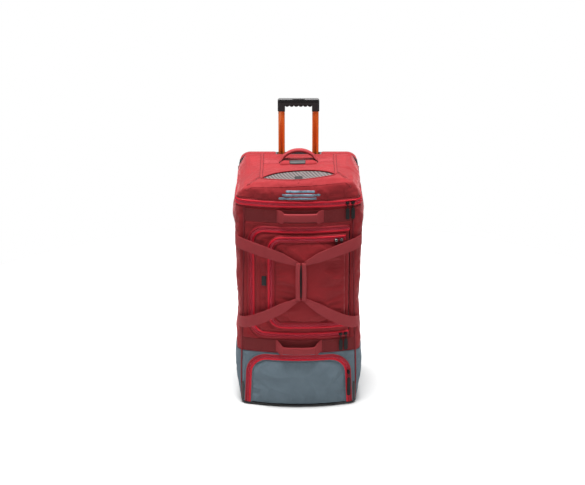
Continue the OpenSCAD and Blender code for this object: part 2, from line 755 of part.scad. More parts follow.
base_tray();
base_feet();
case_screws();
wheel_housings();
wheel_axles();
wheel_bearings();
back_panel();
skid_rails();
trolley_sleeves();
trolley_bracket();
top_frame();
side_panels();
lower_side_panels();
front_upper_panel();
front_side_strips();
front_lower_panel();
base_front_panel();
inner_lining();
front_webbing();
front_grab_handles();
side_webbing();
fixed_zip_tapes();
lid_shell();
vent_mesh();
lid_handle();
lid_zip_tape();
main_door_panel();
pocket_panel();
main_door_zip_tapes();
base_door_panel();
base_door_zip_tape();
lid_slider();
lid_end_slider();
main_slider();
pocket_slider();
door_end_sliders();
base_slider();
base_end_slider();
lid_pull();
lid_end_pull();
main_pull();
main_end_pull();
pocket_pull();
pocket_end_pull();
base_pull();
base_end_pull();
sliding_tubes();
grip_cover();
grip_body();
tube_guides();
release_button();
button_springs();
lock_pins();
color(black) mirror([1, 0, 0]) tyre();  // left_tyre
color(charcoal) mirror([1, 0, 0]) wheel_hub();  // left_wheel_hub
color(black) tyre();  // right_tyre
color(charcoal) wheel_hub();  // right_wheel_hub
color(webbing_red) mirror([1, 0, 0]) carry_strap([5, -200], 1);  // left_carry_strap
color(webbing_red) carry_strap([14, -199], 0);  // right_carry_strap
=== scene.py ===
# %% [markdown]
# # Dressing a rolling duffel bag
# The bag is a fabric case on a moulded tray with two wheels. Its shape, its joints and its sizes come
# from a CAD frame that is loaded first and never changed. Each step here makes what the eye sees on it:
# cloth that is filled and held at its seams, zips, webbing, stitches and moulded parts.

# %% Load the frame
import math

import bpy
import numpy as np
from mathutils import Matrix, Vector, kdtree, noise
from mathutils.bvhtree import BVHTree
from mathutils.geometry import delaunay_2d_cdt


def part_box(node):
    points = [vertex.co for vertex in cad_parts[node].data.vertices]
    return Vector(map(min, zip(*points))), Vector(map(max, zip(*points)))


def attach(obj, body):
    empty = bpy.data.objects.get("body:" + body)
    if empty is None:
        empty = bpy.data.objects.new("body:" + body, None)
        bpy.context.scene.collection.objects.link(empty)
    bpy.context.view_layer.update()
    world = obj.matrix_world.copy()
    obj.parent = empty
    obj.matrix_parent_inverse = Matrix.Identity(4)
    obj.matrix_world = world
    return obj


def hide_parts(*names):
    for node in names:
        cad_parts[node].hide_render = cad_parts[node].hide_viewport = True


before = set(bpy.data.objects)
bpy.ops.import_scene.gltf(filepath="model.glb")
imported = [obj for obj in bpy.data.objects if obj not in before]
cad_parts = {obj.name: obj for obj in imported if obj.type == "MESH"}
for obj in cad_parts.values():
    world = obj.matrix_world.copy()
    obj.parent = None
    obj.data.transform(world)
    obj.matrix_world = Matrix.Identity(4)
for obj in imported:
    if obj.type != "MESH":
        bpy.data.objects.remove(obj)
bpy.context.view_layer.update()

# %% [markdown]
# ## The line that everything is sewn along
# Seen from above, the case is a bowed front, two front corners, flat sides and two back corners. A place
# on the wall is given by s, the distance round the case from the middle of the front, and z, the height.
# That is how the cloth would be drawn on the cutting table, so every panel, zip and seam is laid out in
# (s, z) first and bent round the case after. d moves a point straight out from the wall.

# %% The case's outline
HALF_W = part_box("side_panels")[1].x
FRONT_Y = -0.177
BACK_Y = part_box("back_panel")[1].y
BOW_R, CORNER_R, REAR_R = 0.557, 0.032, 0.030
BOW_Y = FRONT_Y + BOW_R
CORNER_Y = BOW_Y - math.sqrt((BOW_R - CORNER_R) ** 2 - (HALF_W - CORNER_R) ** 2)
BOW_A = math.asin((HALF_W - CORNER_R) / (BOW_R - CORNER_R))
S_BOW = BOW_R * BOW_A
S_CORNER = S_BOW + (math.pi / 2 - BOW_A) * CORNER_R
S_SIDE = S_CORNER + BACK_Y - REAR_R - CORNER_Y
S_REAR = S_SIDE + REAR_R * math.pi / 2
S_END = S_REAR + HALF_W - REAR_R
SWELL = np.array([(0.0, -0.016), (0.03, -0.010), (0.09, -0.001), (0.15, 0.004), (0.21, 0.002),
                  (0.30, -0.005), (0.38, -0.007), (0.48, -0.004), (0.58, 0.001), (0.66, 0.005),
                  (0.70, 0.004), (0.73, 0), (0.8, 0)])
print("half way round the case: %.3f m" % S_END)


# %% The wall
def side_swell(s, z):
    """How far the soft side stands out of the flat side of the case, in metres."""
    return np.interp(z, *SWELL.T) * np.interp(np.abs(s), [0.187, 0.235, 0.47, 0.52], [0, 1, 1, 0])


def wall(s, z, d=0.0, swell=1.0):
    """Points on the case's wall and the directions straight out of it."""
    s, z = np.broadcast_arrays(np.asarray(s, float), np.asarray(z, float))
    a = np.abs(s)
    t = np.where(a < S_BOW, a / BOW_R, np.minimum(BOW_A + (a - S_BOW) / CORNER_R, math.pi / 2))
    x = np.where(a < S_BOW, BOW_R * np.sin(t), HALF_W - CORNER_R + CORNER_R * np.sin(t))
    y = np.where(a < S_BOW, BOW_Y - BOW_R * np.cos(t), CORNER_Y - CORNER_R * np.cos(t))
    y = np.where(a > S_CORNER, CORNER_Y + a - S_CORNER, y)
    nx, ny = np.sin(t), -np.cos(t)
    q = np.clip((a - S_SIDE) / REAR_R, 0, math.pi / 2)
    rear = a > S_SIDE
    x = np.where(rear, HALF_W - REAR_R + REAR_R * np.cos(q) - np.maximum(a - S_REAR, 0), x)
    y = np.where(rear, BACK_Y - REAR_R + REAR_R * np.sin(q), y)
    nx, ny = np.where(rear, np.cos(q), nx), np.where(rear, np.sin(q), ny)
    out = np.stack([np.sign(s + 1e-12) * nx, ny, 0 * nx], -1)
    base = np.stack([np.sign(s + 1e-12) * x, y, z], -1)
    return base + out * (np.asarray(d) + swell * side_swell(s, z))[..., None], out


print("front corner at", np.round(wall(S_CORNER, 0.3)[0], 3))

# %% Places on the front
s_line = np.linspace(0, S_CORNER, 400)
x_line = wall(s_line, 0.3, 0, 0)[0][:, 0]


def s_at(x):
    """The place round the case of a point x metres from the middle of the front."""
    return np.sign(x) * np.interp(np.abs(x), x_line, s_line)


def seam_s(z):
    """Where the front meets the sides: the front is a little narrower at its top."""
    return s_at(np.interp(z, [0.0, 0.645, 0.8], [0.1955, 0.1795, 0.177]))


S_BACK_SEAM = S_CORNER + 0.168 - CORNER_Y
print("the front's seams lie %.3f m round at the floor, %.3f m at the top" % (seam_s(0.0), seam_s(0.8)))

# %% [markdown]
# ## The camera
# A long lens stands well back and looks a little down, so the sides stay nearly upright and the top of
# the lid can be seen. The shift only centres the bag as a catalogue picture would.

# %% Camera
lens = bpy.data.cameras.new("camera")
lens.lens, lens.sensor_width = 115.14, 36
lens.shift_x, lens.shift_y = -0.01026, 0.0123
lens.clip_end = 50
camera = bpy.data.objects.new("camera", lens)
camera.location = (0, -5.982, 2.706)
camera.rotation_euler = (math.radians(90 - 20.19), 0, 0)
bpy.context.collection.objects.link(camera)
bpy.context.scene.camera = camera
print("camera %.2f m from the bag" % camera.location.length)

# %% [markdown]
# ## Finishes
# A finish is a small tree of nodes. This helper adds nodes and joins them in one line, so that each
# finish below reads as a recipe: what gives the colour, what gives the relief, how rough it is.


# %% A shorthand for nodes
class Finish:
    def __init__(self, name, rough=0.6, metal=0.0, sheen=0.0, coat=0.0, specular=0.5):
        self.material = bpy.data.materials.new(name)
        self.material.use_nodes = True
        self.tree = self.material.node_tree
        self.shader = self.tree.nodes["Principled BSDF"]
        self.shader.inputs["Roughness"].default_value = rough
        self.shader.inputs["Metallic"].default_value = metal
        self.shader.inputs["Sheen Weight"].default_value = sheen
        self.shader.inputs["Sheen Roughness"].default_value = 0.45
        self.shader.inputs["Coat Weight"].default_value = coat
        self.shader.inputs["Specular IOR Level"].default_value = specular

    def node(self, kind, inputs=(), **settings):
        node = self.tree.nodes.new("ShaderNode" + kind)
        for key, value in settings.items():
            setattr(node, key, value)
        for key, value in dict(inputs).items():
            socket = node.inputs[key]
            if isinstance(value, bpy.types.NodeSocket):
                self.tree.links.new(value, socket)
            else:
                socket.default_value = value
        return node

    def math(self, operation, a, b=0.0):
        return self.node("Math", {0: a, 1: b}, operation=operation).outputs[0]

    def place(self, by_uv=True):
        texture = self.node("TexCoord")
        return texture.outputs["UV" if by_uv else "Object"]

    def grain(self, where, scale, detail=3.0, rough=0.55):
        return self.node("TexNoise", {"Vector": where, "Scale": scale, "Detail": detail,
                                      "Roughness": rough}).outputs["Fac"]

    def between(self, share, *colours):
        """A colour ramp through (position, colour) pairs."""
        ramp = self.node("ValToRGB", {"Fac": share})
        while len(ramp.color_ramp.elements) < len(colours):
            ramp.color_ramp.elements.new(0.5)
        for stop, (position, colour) in zip(ramp.color_ramp.elements, colours):
            stop.position, stop.color = position, (*colour, 1)
        return ramp.outputs["Color"]

    def colour(self, socket):
        self.tree.links.new(socket, self.shader.inputs["Base Color"])

    def roughness(self, share, low, high):
        out = self.node("MapRange", {"Value": share, "To Min": low, "To Max": high}).outputs[0]
        self.tree.links.new(out, self.shader.inputs["Roughness"])

    def relief(self, height, metres, strength=1.0, over=None):
        bump = self.node("Bump", {"Height": height, "Distance": metres, "Strength": strength})
        if over is not None:
            self.tree.links.new(over, bump.inputs["Normal"])
        self.tree.links.new(bump.outputs["Normal"], self.shader.inputs["Normal"])
        return bump.outputs["Normal"]


print("a finish can:", [step for step in vars(Finish) if not step.startswith("_")])


# %% Colours
def rgb(r, g, b):
    """A screen colour as the light that it stands for."""
    return tuple(((c / 255 + 0.055) / 1.055) ** 2.4 if c > 10 else c / 255 / 12.92 for c in (r, g, b))


def scaled(colour, k):
    return tuple(min(c * k, 1.0) for c in colour)


print("colours are given as they look on a screen, such as", rgb(150, 40, 44))

# %% [markdown]
# ## Woven cloth
# The case is heavy polyester in a plain weave: threads cross over and under about every millimetre.
# Two sine waves across each other give that relief. A slow noise shifts the colour as dye and wear do,
# and a faint sheen stands for the fibre ends that catch light at a low angle.


# %% Cloth finishes
def woven(name, colour, pitch=0.0011, relief=0.00022, sheen=0.25, rough=0.72, rub=1.35):
    f = Finish(name, rough=rough, sheen=sheen, specular=0.2)
    at = f.node("SeparateXYZ", {0: f.place()}).outputs
    waves = [f.math("SINE", f.math("MULTIPLY", at[k], math.pi / pitch)) for k in (0, 1)]
    over = f.math("MULTIPLY", waves[0], waves[1])
    slub = f.grain(f.place(), 900, 2)
    cloudy = f.grain(f.place(), 14, 4)
    lit = f.math("ADD", f.math("MULTIPLY", over, 0.16), f.math("MULTIPLY", slub, 0.35))
    share = f.math("ADD", lit, f.math("MULTIPLY", cloudy, 0.55))
    f.colour(f.between(share, (0.15, scaled(colour, 0.72)), (0.5, colour), (0.85, scaled(colour, rub))))
    f.roughness(slub, rough - 0.08, rough + 0.12)
    soft = f.relief(f.grain(f.place(), 60, 3), 0.0006, 0.5)
    f.relief(f.math("ADD", over, f.math("MULTIPLY", slub, 0.8)), relief, 0.6, soft)
    f.shader.inputs["Sheen Tint"].default_value = (*[0.3 + 0.7 * c for c in scaled(colour, 3.2)], 1)
    return f.material


RED = rgb(129, 23, 29)
red_cloth = woven("red_cloth", RED, sheen=0.5)
slate_cloth = woven("slate_cloth", rgb(91, 105, 114), sheen=0.1)
grey_cloth = woven("grey_cloth", rgb(62, 65, 68), pitch=0.0014, sheen=0.15)
lining_cloth = woven("lining_cloth", rgb(92, 94, 98), pitch=0.0007, relief=0.0001, sheen=0.1, rough=0.6)
print("cloth finishes:", len(bpy.data.materials))

# %% [markdown]
# ## Webbing, tape and thread
# Webbing is a thick ribbed weave: fine ribs run across it and a coarser twill runs along. Zip tape is a
# tighter, shinier weave of the same kind, folded over piping to make the rolls beside the teeth. The
# rolls
# are painted in two copies of the tape: one painted lighter, as a roll in light, one darker, as a roll in
# shade.


# %% Webbing and zip finishes
def ribbed(name, colour, rib, relief, sheen, rough, strength=0.8):
    f = Finish(name, rough=rough, sheen=sheen, specular=0.25)
    at = f.node("SeparateXYZ", {0: f.place()}).outputs
    along = f.math("SINE", f.math("MULTIPLY", at[1], 2 * math.pi / rib))
    slant = f.math("ADD", f.math("MULTIPLY", at[0], 1.6), f.math("MULTIPLY", at[1], 0.9))
    twill = f.math("SINE", f.math("MULTIPLY", slant, 2 * math.pi / (rib * 1.9)))
    fuzz = f.grain(f.place(), 1400, 2)
    height = f.math("ADD", along, f.math("MULTIPLY", twill, 0.6))
    share = f.math("ADD", f.math("MULTIPLY", height, 0.16), fuzz)
    share = f.math("ADD", share, f.math("MULTIPLY", f.grain(f.place(), 20, 3), 0.3))
    f.colour(f.between(share, (0.25, scaled(colour, 0.7)), (0.62, colour), (0.95, scaled(colour, 1.4))))
    f.relief(f.math("ADD", height, fuzz), relief, strength)
    f.shader.inputs["Sheen Tint"].default_value = (*scaled(colour, 3.0), 1)
    return f.material


band_webbing = ribbed("band_webbing", rgb(104, 26, 29), 0.0017, 0.0003, 0.15, 0.75)
strap_webbing = ribbed("strap_webbing", rgb(138, 43, 48), 0.0017, 0.0003, 0.2, 0.72)
# The next two are one zip tape in two copies: the first painted lighter, as a roll in light (a painted
# highlight), the second painted darker, as a roll in shade (painted shade).
painted_lit_roll = ribbed("painted_lit_roll", rgb(176, 10, 34), 0.0011, 0.00012, 0.15, 0.45, 0.5)
painted_shaded_roll = ribbed("painted_shaded_roll", rgb(134, 14, 28), 0.0011, 0.00012, 0.1, 0.5, 0.5)
zip_cloth = ribbed("zip_cloth", rgb(140, 14, 32), 0.0010, 0.00010, 0.2, 0.55, 0.5)
# A dark red for the cords beside the lid's seams: painted shadow for the shaded grooves.
painted_seam_shadow = ribbed("painted_seam_shadow", rgb(82, 12, 18), 0.0012, 0.00012, 0.1, 0.6)
piping_cloth = ribbed("piping_cloth", rgb(108, 22, 30), 0.0012, 0.00012, 0.2, 0.6)
print("webbing and tape finishes made")

# %% [markdown]
# ## Moulded plastic and thread
# Plastic comes out of its mould with the fine grain that a spark leaves on the steel, so the relief is a
# small noise. Handling polishes and scuffs it, which a second, larger noise shows as paler patches.


# %% Plastic finishes
def plastic(name, colour, rough, relief=0.00012, coat=0.0, wear=1.6, specular=0.4):
    """Moulded plastic: a fine spark-eroded grain, with paler scuffs here and there."""
    f = Finish(name, rough=rough, coat=coat, specular=specular)
    where = f.place(by_uv=False)
    pits = f.grain(where, 1040, 2)
    scuffs = f.node("MapRange", {"Value": f.grain(where, 34, 8, 0.72), "From Min": 0.54,
                                 "From Max": 0.72}).outputs[0]
    f.colour(f.between(scuffs, (0.0, colour), (1.0, scaled(colour, wear))))
    f.roughness(f.math("ADD", f.math("MULTIPLY", scuffs, 0.6), f.math("MULTIPLY", pits, 0.4)),
                rough - 0.06, rough + 0.22)
    f.relief(pits, relief, 0.7)
    return f.material


zip_coil = plastic("zip_coil", rgb(206, 62, 82), 0.4, relief=0.00004, wear=1.2)
red_thread = plastic("red_thread", rgb(128, 34, 42), 0.6, relief=0.00003, wear=1.2)
slate_thread = plastic("slate_thread", rgb(92, 104, 112), 0.6, relief=0.00003, wear=1.2)
black_moulding = plastic("black_moulding", rgb(38, 37, 38), 0.5)
black_gloss = plastic("black_gloss", rgb(30, 28, 29), 0.26, relief=0.00003, coat=0.3, wear=1.3)
frame_grey = plastic("frame_grey", rgb(66, 67, 69), 0.5)
black_rubber = plastic("black_rubber", rgb(20, 19, 20), 0.62, relief=0.0001, wear=1.4, specular=0.25)
tyre_rubber = plastic("tyre_rubber", rgb(34, 34, 35), 0.7, relief=0.0002, wear=1.7)
print("plastic finishes made")

# %% [markdown]
# ## Metals
# The tubes are drawn aluminium, dyed orange in an anodising bath. Drawing leaves fine lines along them,
# so the roughness comes from a noise that is stretched along z.


# %% Metal finishes
def metal(name, colour, rough, drawn=(1, 1, 1), shine=1.0):
    f = Finish(name, rough=rough, metal=shine)
    where = f.node("Mapping", {"Vector": f.place(by_uv=False), "Scale": drawn}).outputs[0]
    lines = f.grain(where, 900, 4)
    smudge = f.grain(f.place(by_uv=False), 45, 4)
    f.colour(f.between(smudge, (0.3, scaled(colour, 0.86)), (0.7, colour)))
    f.roughness(f.math("ADD", f.math("MULTIPLY", lines, 0.6), f.math("MULTIPLY", smudge, 0.4)),
                rough - 0.08, rough + 0.14)
    f.relief(lines, 0.00002, 0.5)
    return f.material


orange_tube = metal("orange_tube", rgb(255, 130, 50), 0.3, (1, 1, 0.01), shine=0.2)
plain_tube = metal("plain_tube", rgb(176, 178, 180), 0.38, (1, 1, 0.01))
bright_steel = metal("bright_steel", rgb(190, 190, 188), 0.28)
black_metal = metal("black_metal", rgb(52, 50, 50), 0.36)
print("metal finishes made")

# %% [markdown]
# ## From points to meshes
# Most pieces are computed as points and faces. This helper turns them into an object at the origin, with
# its place in its mesh and, for cloth, a UV map in metres, so that a weave has its real size anywhere.


# %% Mesh helpers
def make(name, points, faces, finish, uv=None, smooth=True):
    mesh = bpy.data.meshes.new(name)
    mesh.from_pydata([tuple(p) for p in np.asarray(points, float)], [],
                     [tuple(map(int, f)) for f in faces])
    mesh.materials.append(finish)
    if uv is not None:
        layer = mesh.uv_layers.new(name="metres")
        corners = np.zeros(len(mesh.loops), int)
        mesh.loops.foreach_get("vertex_index", corners)
        layer.data.foreach_set("uv", np.asarray(uv, float)[corners].ravel())
    mesh.polygons.foreach_set("use_smooth", [smooth] * len(mesh.polygons))
    mesh.update()
    obj = bpy.data.objects.new(name, mesh)
    bpy.context.collection.objects.link(obj)
    return obj


def applied(obj):
    """The object with its modifiers made part of its mesh."""
    bpy.context.view_layer.update()
    graph = bpy.context.evaluated_depsgraph_get()
    mesh = bpy.data.meshes.new_from_object(obj.evaluated_get(graph), preserve_all_data_layers=True,
                                           depsgraph=graph)
    obj.modifiers.clear()
    obj.data = mesh
    return obj


def thickened(obj, thick):
    """The sheet given a thickness inwards, so that its outer face stays where it is."""
    solid = obj.modifiers.new("thickness", "SOLIDIFY")
    solid.thickness, solid.offset = thick, -1
    return applied(obj)


def joined(name, parts):
    """Several objects made one, each face keeping its own finish."""
    with bpy.context.temp_override(active_object=parts[0], selected_editable_objects=parts,
                                   selected_objects=parts, object=parts[0]):
        bpy.ops.object.join()
    parts[0].name = parts[0].data.name = name
    return parts[0]


print("mesh helpers ready")


# %% Pieces and lines
def settle(obj, body, slot, *nodes):
    """Rides on its body and stands for its CAD nodes, which it hides; its slot is not used."""
    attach(obj, body)
    if nodes:
        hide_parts(*nodes)
    return obj


def arc_points(centre, radius, start, end, count):
    t = np.radians(np.linspace(start, end, count))
    return np.stack([centre[0] + radius * np.cos(t), centre[1] + radius * np.sin(t)], -1)


def walked(line, step):
    """Points spaced evenly along a line of points, ends kept."""
    line = np.asarray(line, float)
    gaps = np.linalg.norm(np.diff(line, axis=0), axis=1)
    run = np.concatenate([[0], np.cumsum(gaps)])
    at = np.linspace(0, run[-1], max(2, int(round(run[-1] / step)) + 1))
    return np.stack([np.interp(at, run, line[:, k]) for k in range(line.shape[1])], -1)


def on_side(ring, way):
    """A flat outline drawn for the right side, or its mirror image for the left."""
    ring = np.asarray(ring, float)
    return ring if way > 0 else (ring * [-1, 1])[::-1]


def sideways(line):
    """Unit directions to the left of a flat line."""
    way = np.gradient(np.asarray(line, float), axis=0)
    way /= np.linalg.norm(way, axis=1)[:, None] + 1e-12
    return np.stack([-way[:, 1], way[:, 0]], -1)


print("line helpers ready")

# %% [markdown]
# ## The zips' lines
# The main door opens like a book: its zip runs from the hinge line on the right, round the door's left
# end and back. The pocket on it follows the same shape. The base door hangs from the floor and its zip
# is an arch that widens downwards. All are lines in (s, z), so they can be moved in or out with ease.

# %% Door outlines
MAIN_Z, MAIN_X, MAIN_R = (0.264, 0.640), (-0.157, 0.168), 0.045
POCKET_Z, POCKET_X, POCKET_R, POCKET_D = (0.302, 0.608), (-0.091, 0.154), 0.038, 0.006
BASE_W, BASE_TOP, BASE_LOW, BASE_R, BASE_FLARE = 0.330, 0.182, 0.0105, 0.060, 0.05
LID_ZIP_Z, LID_BACK = 0.728, 0.163
TAPE, LINE_STEP = 0.012, 0.003


def book_door(z, x, r, i=0.0):
    """The zip line of a door hinged on its right, moved in by i, from its lower right to its upper."""
    low, high, left, right, r = z[0] + i, z[1] - i, x[0] + i, x[1], r - i
    line = np.concatenate([[[right, low]], arc_points((left + r, low + r), r, 270, 180, 13),
                           arc_points((left + r, high - r), r, 180, 90, 13), [[right, high]]])
    line[:, 0] = s_at(line[:, 0])
    return walked(line, LINE_STEP)


def base_door(i=0.0, lift=0.0):
    """The arch of the base door's zip, moved in by i, from its lower left foot to its lower right."""
    w, h, r = BASE_W / 2 - i, BASE_TOP - BASE_LOW - i, BASE_R - i
    line = np.concatenate([[[-w, lift]], arc_points((r - w, h - r), r, 180, 90, 13),
                           arc_points((w - r, h - r), r, 90, 0, 13), [[w, lift]]])
    line[:, 0] = s_at(line[:, 0] * (1 + BASE_FLARE * (1 - line[:, 1] / h)))
    line[:, 1] += BASE_LOW
    return walked(line, LINE_STEP)


main_line = book_door(MAIN_Z, MAIN_X, MAIN_R)
pocket_line = book_door(POCKET_Z, POCKET_X, POCKET_R)
base_line = base_door()
lid_back_s = S_CORNER + LID_BACK - CORNER_Y
lid_line = np.stack([np.linspace(-lid_back_s, lid_back_s, 420), np.full(420, LID_ZIP_Z)], -1)
for line in (main_line, pocket_line, base_line, lid_line):
    print("a zip of %.2f m" % np.linalg.norm(np.diff(line, axis=0), axis=1).sum())

# %% [markdown] ## Cutting and filling a panel A panel starts as its flat outline, filled with an even
# field of triangles. It is bent round the case, held where it is sewn, and then simulated as cloth that
# is a little too big and is pushed from inside. It swells and puckers at its seams as a packed bag
# does. Only the held points stay where the frame has them, and no point may move further than a cap.

# %% Flat outlines
CLOTH_STEP = 0.0052
CLOTH_THICK = 0.0022
waiting = []


def inside(points, ring):
    """Which flat points lie inside a closed ring."""
    x, y = points[:, 0][:, None], points[:, 1][:, None]
    a, b = ring, np.roll(ring, -1, axis=0)
    crossing = ((a[:, 1] > y) != (b[:, 1] > y)) & (
        x < (b[:, 0] - a[:, 0]) * (y - a[:, 1]) / (b[:, 1] - a[:, 1] + 1e-15) + a[:, 0])
    return crossing.sum(1) % 2 == 1


def from_lines(points, lines):
    """Distance of each flat point from the nearest of some lines of points."""
    best = np.full(len(points), 9.0)
    for line in lines:
        a, b = line[:-1], line[1:]
        along = b - a
        for k in range(0, len(points), 2000):
            p = points[k:k + 2000, None, :]
            t = np.clip(((p - a) * along).sum(-1) / ((along ** 2).sum(-1) + 1e-15), 0, 1)
            gap = np.linalg.norm(p - a - t[..., None] * along, axis=-1).min(1)
            best[k:k + 2000] = np.minimum(best[k:k + 2000], gap)
    return best


def loop(line):
    return np.concatenate([line, line[:1]])


print("panels are cut every %.1f mm" % (CLOTH_STEP * 1000))


# %% Cutting out
def cut(ring, holes=(), step=None, exact=False):
    """Flat points, triangles and each point's distance from the cut edges."""
    step = step or CLOTH_STEP
    rings = [walked(loop(np.asarray(r, float)), step)[:-1] for r in (ring, *holes)]
    if exact:
        rings[0] = np.asarray(ring, float)
    low, high = rings[0].min(0), rings[0].max(0)
    field = []
    for k, y in enumerate(np.arange(low[1], high[1], step * 0.866)):
        x = np.arange(low[0] + (k % 2) * step / 2, high[0], step)
        field.append(np.stack([x, np.full(len(x), y)], -1))
    field = np.concatenate(field)
    keep = inside(field, rings[0])
    for hole in rings[1:]:
        keep &= ~inside(field, hole)
    field = field[keep]
    field = field[from_lines(field, [loop(r) for r in rings]) > step * 0.55]
    points, faces, start = list(map(tuple, field)), [], len(field)
    for r in rings:
        points += list(map(tuple, r))
        faces.append(list(range(start, start + len(r))))
        start += len(r)
    flat, _, triangles, *_ = delaunay_2d_cdt([Vector(p) for p in points], [], faces, 2, 1e-7)
    flat = np.array([tuple(p) for p in flat])
    middle = np.array([flat[list(t)].mean(0) for t in triangles])
    keep = inside(middle, rings[0])
    for hole in rings[1:]:
        keep &= ~inside(middle, hole)
    triangles = [t for t, k in zip(triangles, keep) if k]
    area = lambda t: np.cross(flat[t[1]] - flat[t[0]], flat[t[2]] - flat[t[0]])
    triangles = [t if area(t) > 0 else t[::-1] for t in triangles]
    return flat, triangles, from_lines(flat, [loop(r) for r in rings])


SQUARE = np.array([[0, 0], [0.1, 0], [0.1, 0.1], [0, 0.1]])
print("a 100 mm square is cut into", len(cut(SQUARE)[1]), "triangles")


# %% Panels
def noise_at(flat, across, along, seed):
    """A smooth random height for each flat place, with its own grain each way."""
    return np.array([noise.noise(Vector((p[0] * across, p[1] * along, seed))) for p in flat])


def swelling(flat, gap, height, reach):
    """A soft crown: nothing at the seams, full at reach from them, with slow waves in it."""
    rise = np.sin(np.clip(gap / reach, 0, 1) * math.pi / 2) ** 1.3
    waves = noise_at(flat, 9, 6, 3.7)
    fine = noise_at(flat, 26, 14, 9.1)
    return rise * height * (1 + 0.5 * waves + 0.22 * fine)


def panel(name, ring, finish, holes=(), height=0.004, reach=0.05, held=(), d=0.0,
          push=1.0, spare=0.02, cap=0.012, step=None, place=wall):
    """Cuts a panel and puts it on the case, and lists it for the cloth simulation."""
    flat, triangles, gap = cut(ring, holes, step)
    pinned = gap < 1e-4
    for line, width in held:
        pinned |= from_lines(flat, [line]) < width
    if held:
        gap = np.minimum(gap, from_lines(flat, [line for line, _ in held]))
    rise = swelling(flat, gap, height, reach)
    points, out = place(flat[:, 0], flat[:, 1], d + rise * 0.5)
    obj = make(name, points, triangles, finish, uv=flat)
    waiting.append(dict(obj=obj, pinned=pinned, push=push, spare=spare, cap=cap, out=out))


print("panels ready to be cut")

# %% [markdown]
# ## The case's cloth
# The front is one red frame round the main door, the sides are one red piece each, and the bottom fifth
# of the case is slate. The webbing bands are sewn flat over the front, so the cloth is held under them.

# %% Case panels
Z_SPLIT, Z_FIXED, Z_FLOOR = 0.200, 0.716, 0.0065
BAND_Z, BAND_W = (0.686, 0.225), 0.045
STRAP_Z = (0.303, 0.589)
HOUSING_X, HOUSING_Y, HOUSING_TOP = 0.1505, 0.0985, 0.1045
S_HOUSING = S_CORNER + HOUSING_Y - CORNER_Y


def corner_line(z0, z1):
    """The upright seam between the front and the right side, from z0 to z1."""
    z = np.linspace(z0, z1, 40)
    return np.stack([seam_s(z), z], -1)


def front_ring(z0, z1):
    right = corner_line(z0, z1)
    return np.concatenate([right, (right * [-1, 1])[::-1]])


main_hole = book_door(MAIN_Z, MAIN_X, MAIN_R, -TAPE)
main_hole[[0, -1], 0] = s_at(MAIN_X[1] + 0.0025)
bands = [(np.array([[-0.2, z], [0.2, z]]), BAND_W / 2 + 0.002) for z in BAND_Z]
panel("front_frame_cloth", front_ring(Z_SPLIT, Z_FIXED), red_cloth, [main_hole], 0.0025, 0.02, bands,
      push=0.6, cap=0.005)
base_hole = base_door(-TAPE, -0.004)
slate_front = front_ring(Z_FLOOR, Z_SPLIT)
left_part = slate_front[slate_front[:, 0] < 0]
right_part = slate_front[slate_front[:, 0] > 0]
panel("slate_front_cloth", np.concatenate([right_part, left_part, base_hole]), slate_cloth, [],
      0.003, 0.02, push=0.6, cap=0.006)


def side_ring(way, z0, z1, housing=False):
    """A side panel's outline, with a corner cut away for the wheel housing where it has one."""
    back = [[S_BACK_SEAM, z1], [S_BACK_SEAM, z0]]
    if housing:
        back[1:] = [[S_BACK_SEAM, HOUSING_TOP], [S_HOUSING, HOUSING_TOP], [S_HOUSING, z0]]
    return on_side(np.concatenate([corner_line(z0, z1), back]), way)


for way, side in ((1, "right"), (-1, "left")):
    roots = [(np.array([[way * 0.262, z], [way * 0.5, z]]), BAND_W / 2) for z in STRAP_Z[::-1]]
    fold = [(np.array([[way * 0.262, 0.215], [way * 0.258, 0.70]]), 0.0035)]
    panel(side + "_side_cloth", side_ring(way, Z_SPLIT, Z_FIXED), red_cloth, [], 0.008, 0.07,
          roots + fold, push=1.2, spare=0.04, cap=0.007)
    panel(side + "_slate_cloth", side_ring(way, Z_FLOOR, Z_SPLIT, True), slate_cloth, [], 0.005, 0.05,
          push=1.0, spare=0.03, cap=0.005)

S_FAR_SEAM, BACK_TOP = 2 * S_END - S_BACK_SEAM, 0.755
back_ring = [[S_BACK_SEAM, BACK_TOP], [S_FAR_SEAM, BACK_TOP], [S_FAR_SEAM, HOUSING_TOP],
             [S_END + HOUSING_X, HOUSING_TOP], [S_END + HOUSING_X, Z_FLOOR],
             [S_END - HOUSING_X, Z_FLOOR], [S_END - HOUSING_X, HOUSING_TOP], [S_BACK_SEAM, HOUSING_TOP]]


def round_back(s, z, d):
    """The wall, for places that run on past the middle of the back."""
    s = np.asarray(s, float)
    return wall(np.where(s > S_END, s - 2 * S_END, s), z, d)


panel("back_cloth", back_ring, grey_cloth, [], 0.0035, 0.07, push=0.5, spare=0.01, cap=0.004,
      step=CLOTH_STEP * 1.3, place=round_back)
print("case panels:", len(waiting))

# %% [markdown]
# ## The doors' cloth
# The main door is a flat padded panel. The pocket on it stands out on a narrow wall, so its cloth starts
# deeper and is fuller. The slate door at the base covers a shoe compartment and bulges most of all.

# %% Door panels
def closed_door(line, right_x):
    line = line.copy()
    line[[0, -1], 0] = s_at(right_x)
    return line


spots = [(np.array([[s_at(POCKET_X[0] + 0.02), z], [s_at(POCKET_X[1]), z]]), 0.011)
         for z in np.arange(POCKET_Z[0] + 0.02, POCKET_Z[1] - 0.01, 0.02)]
panel("main_door_cloth", closed_door(book_door(MAIN_Z, MAIN_X, MAIN_R, TAPE), MAIN_X[1] - 0.0005),
      red_cloth, [], 0.003, 0.016, spots, push=0.8, cap=0.006)
panel("pocket_cloth", closed_door(book_door(POCKET_Z, POCKET_X, POCKET_R, 0.011), POCKET_X[1] - 0.001),
      red_cloth, [], 0.006, 0.07, d=POCKET_D - 0.0005, push=0.9, spare=0.03, cap=0.009)
panel("base_door_cloth", base_door(TAPE, 0.001), slate_cloth, [], 0.007, 0.05, push=1.2, spare=0.028,
      cap=0.011)
print("panels in all:", len(waiting))

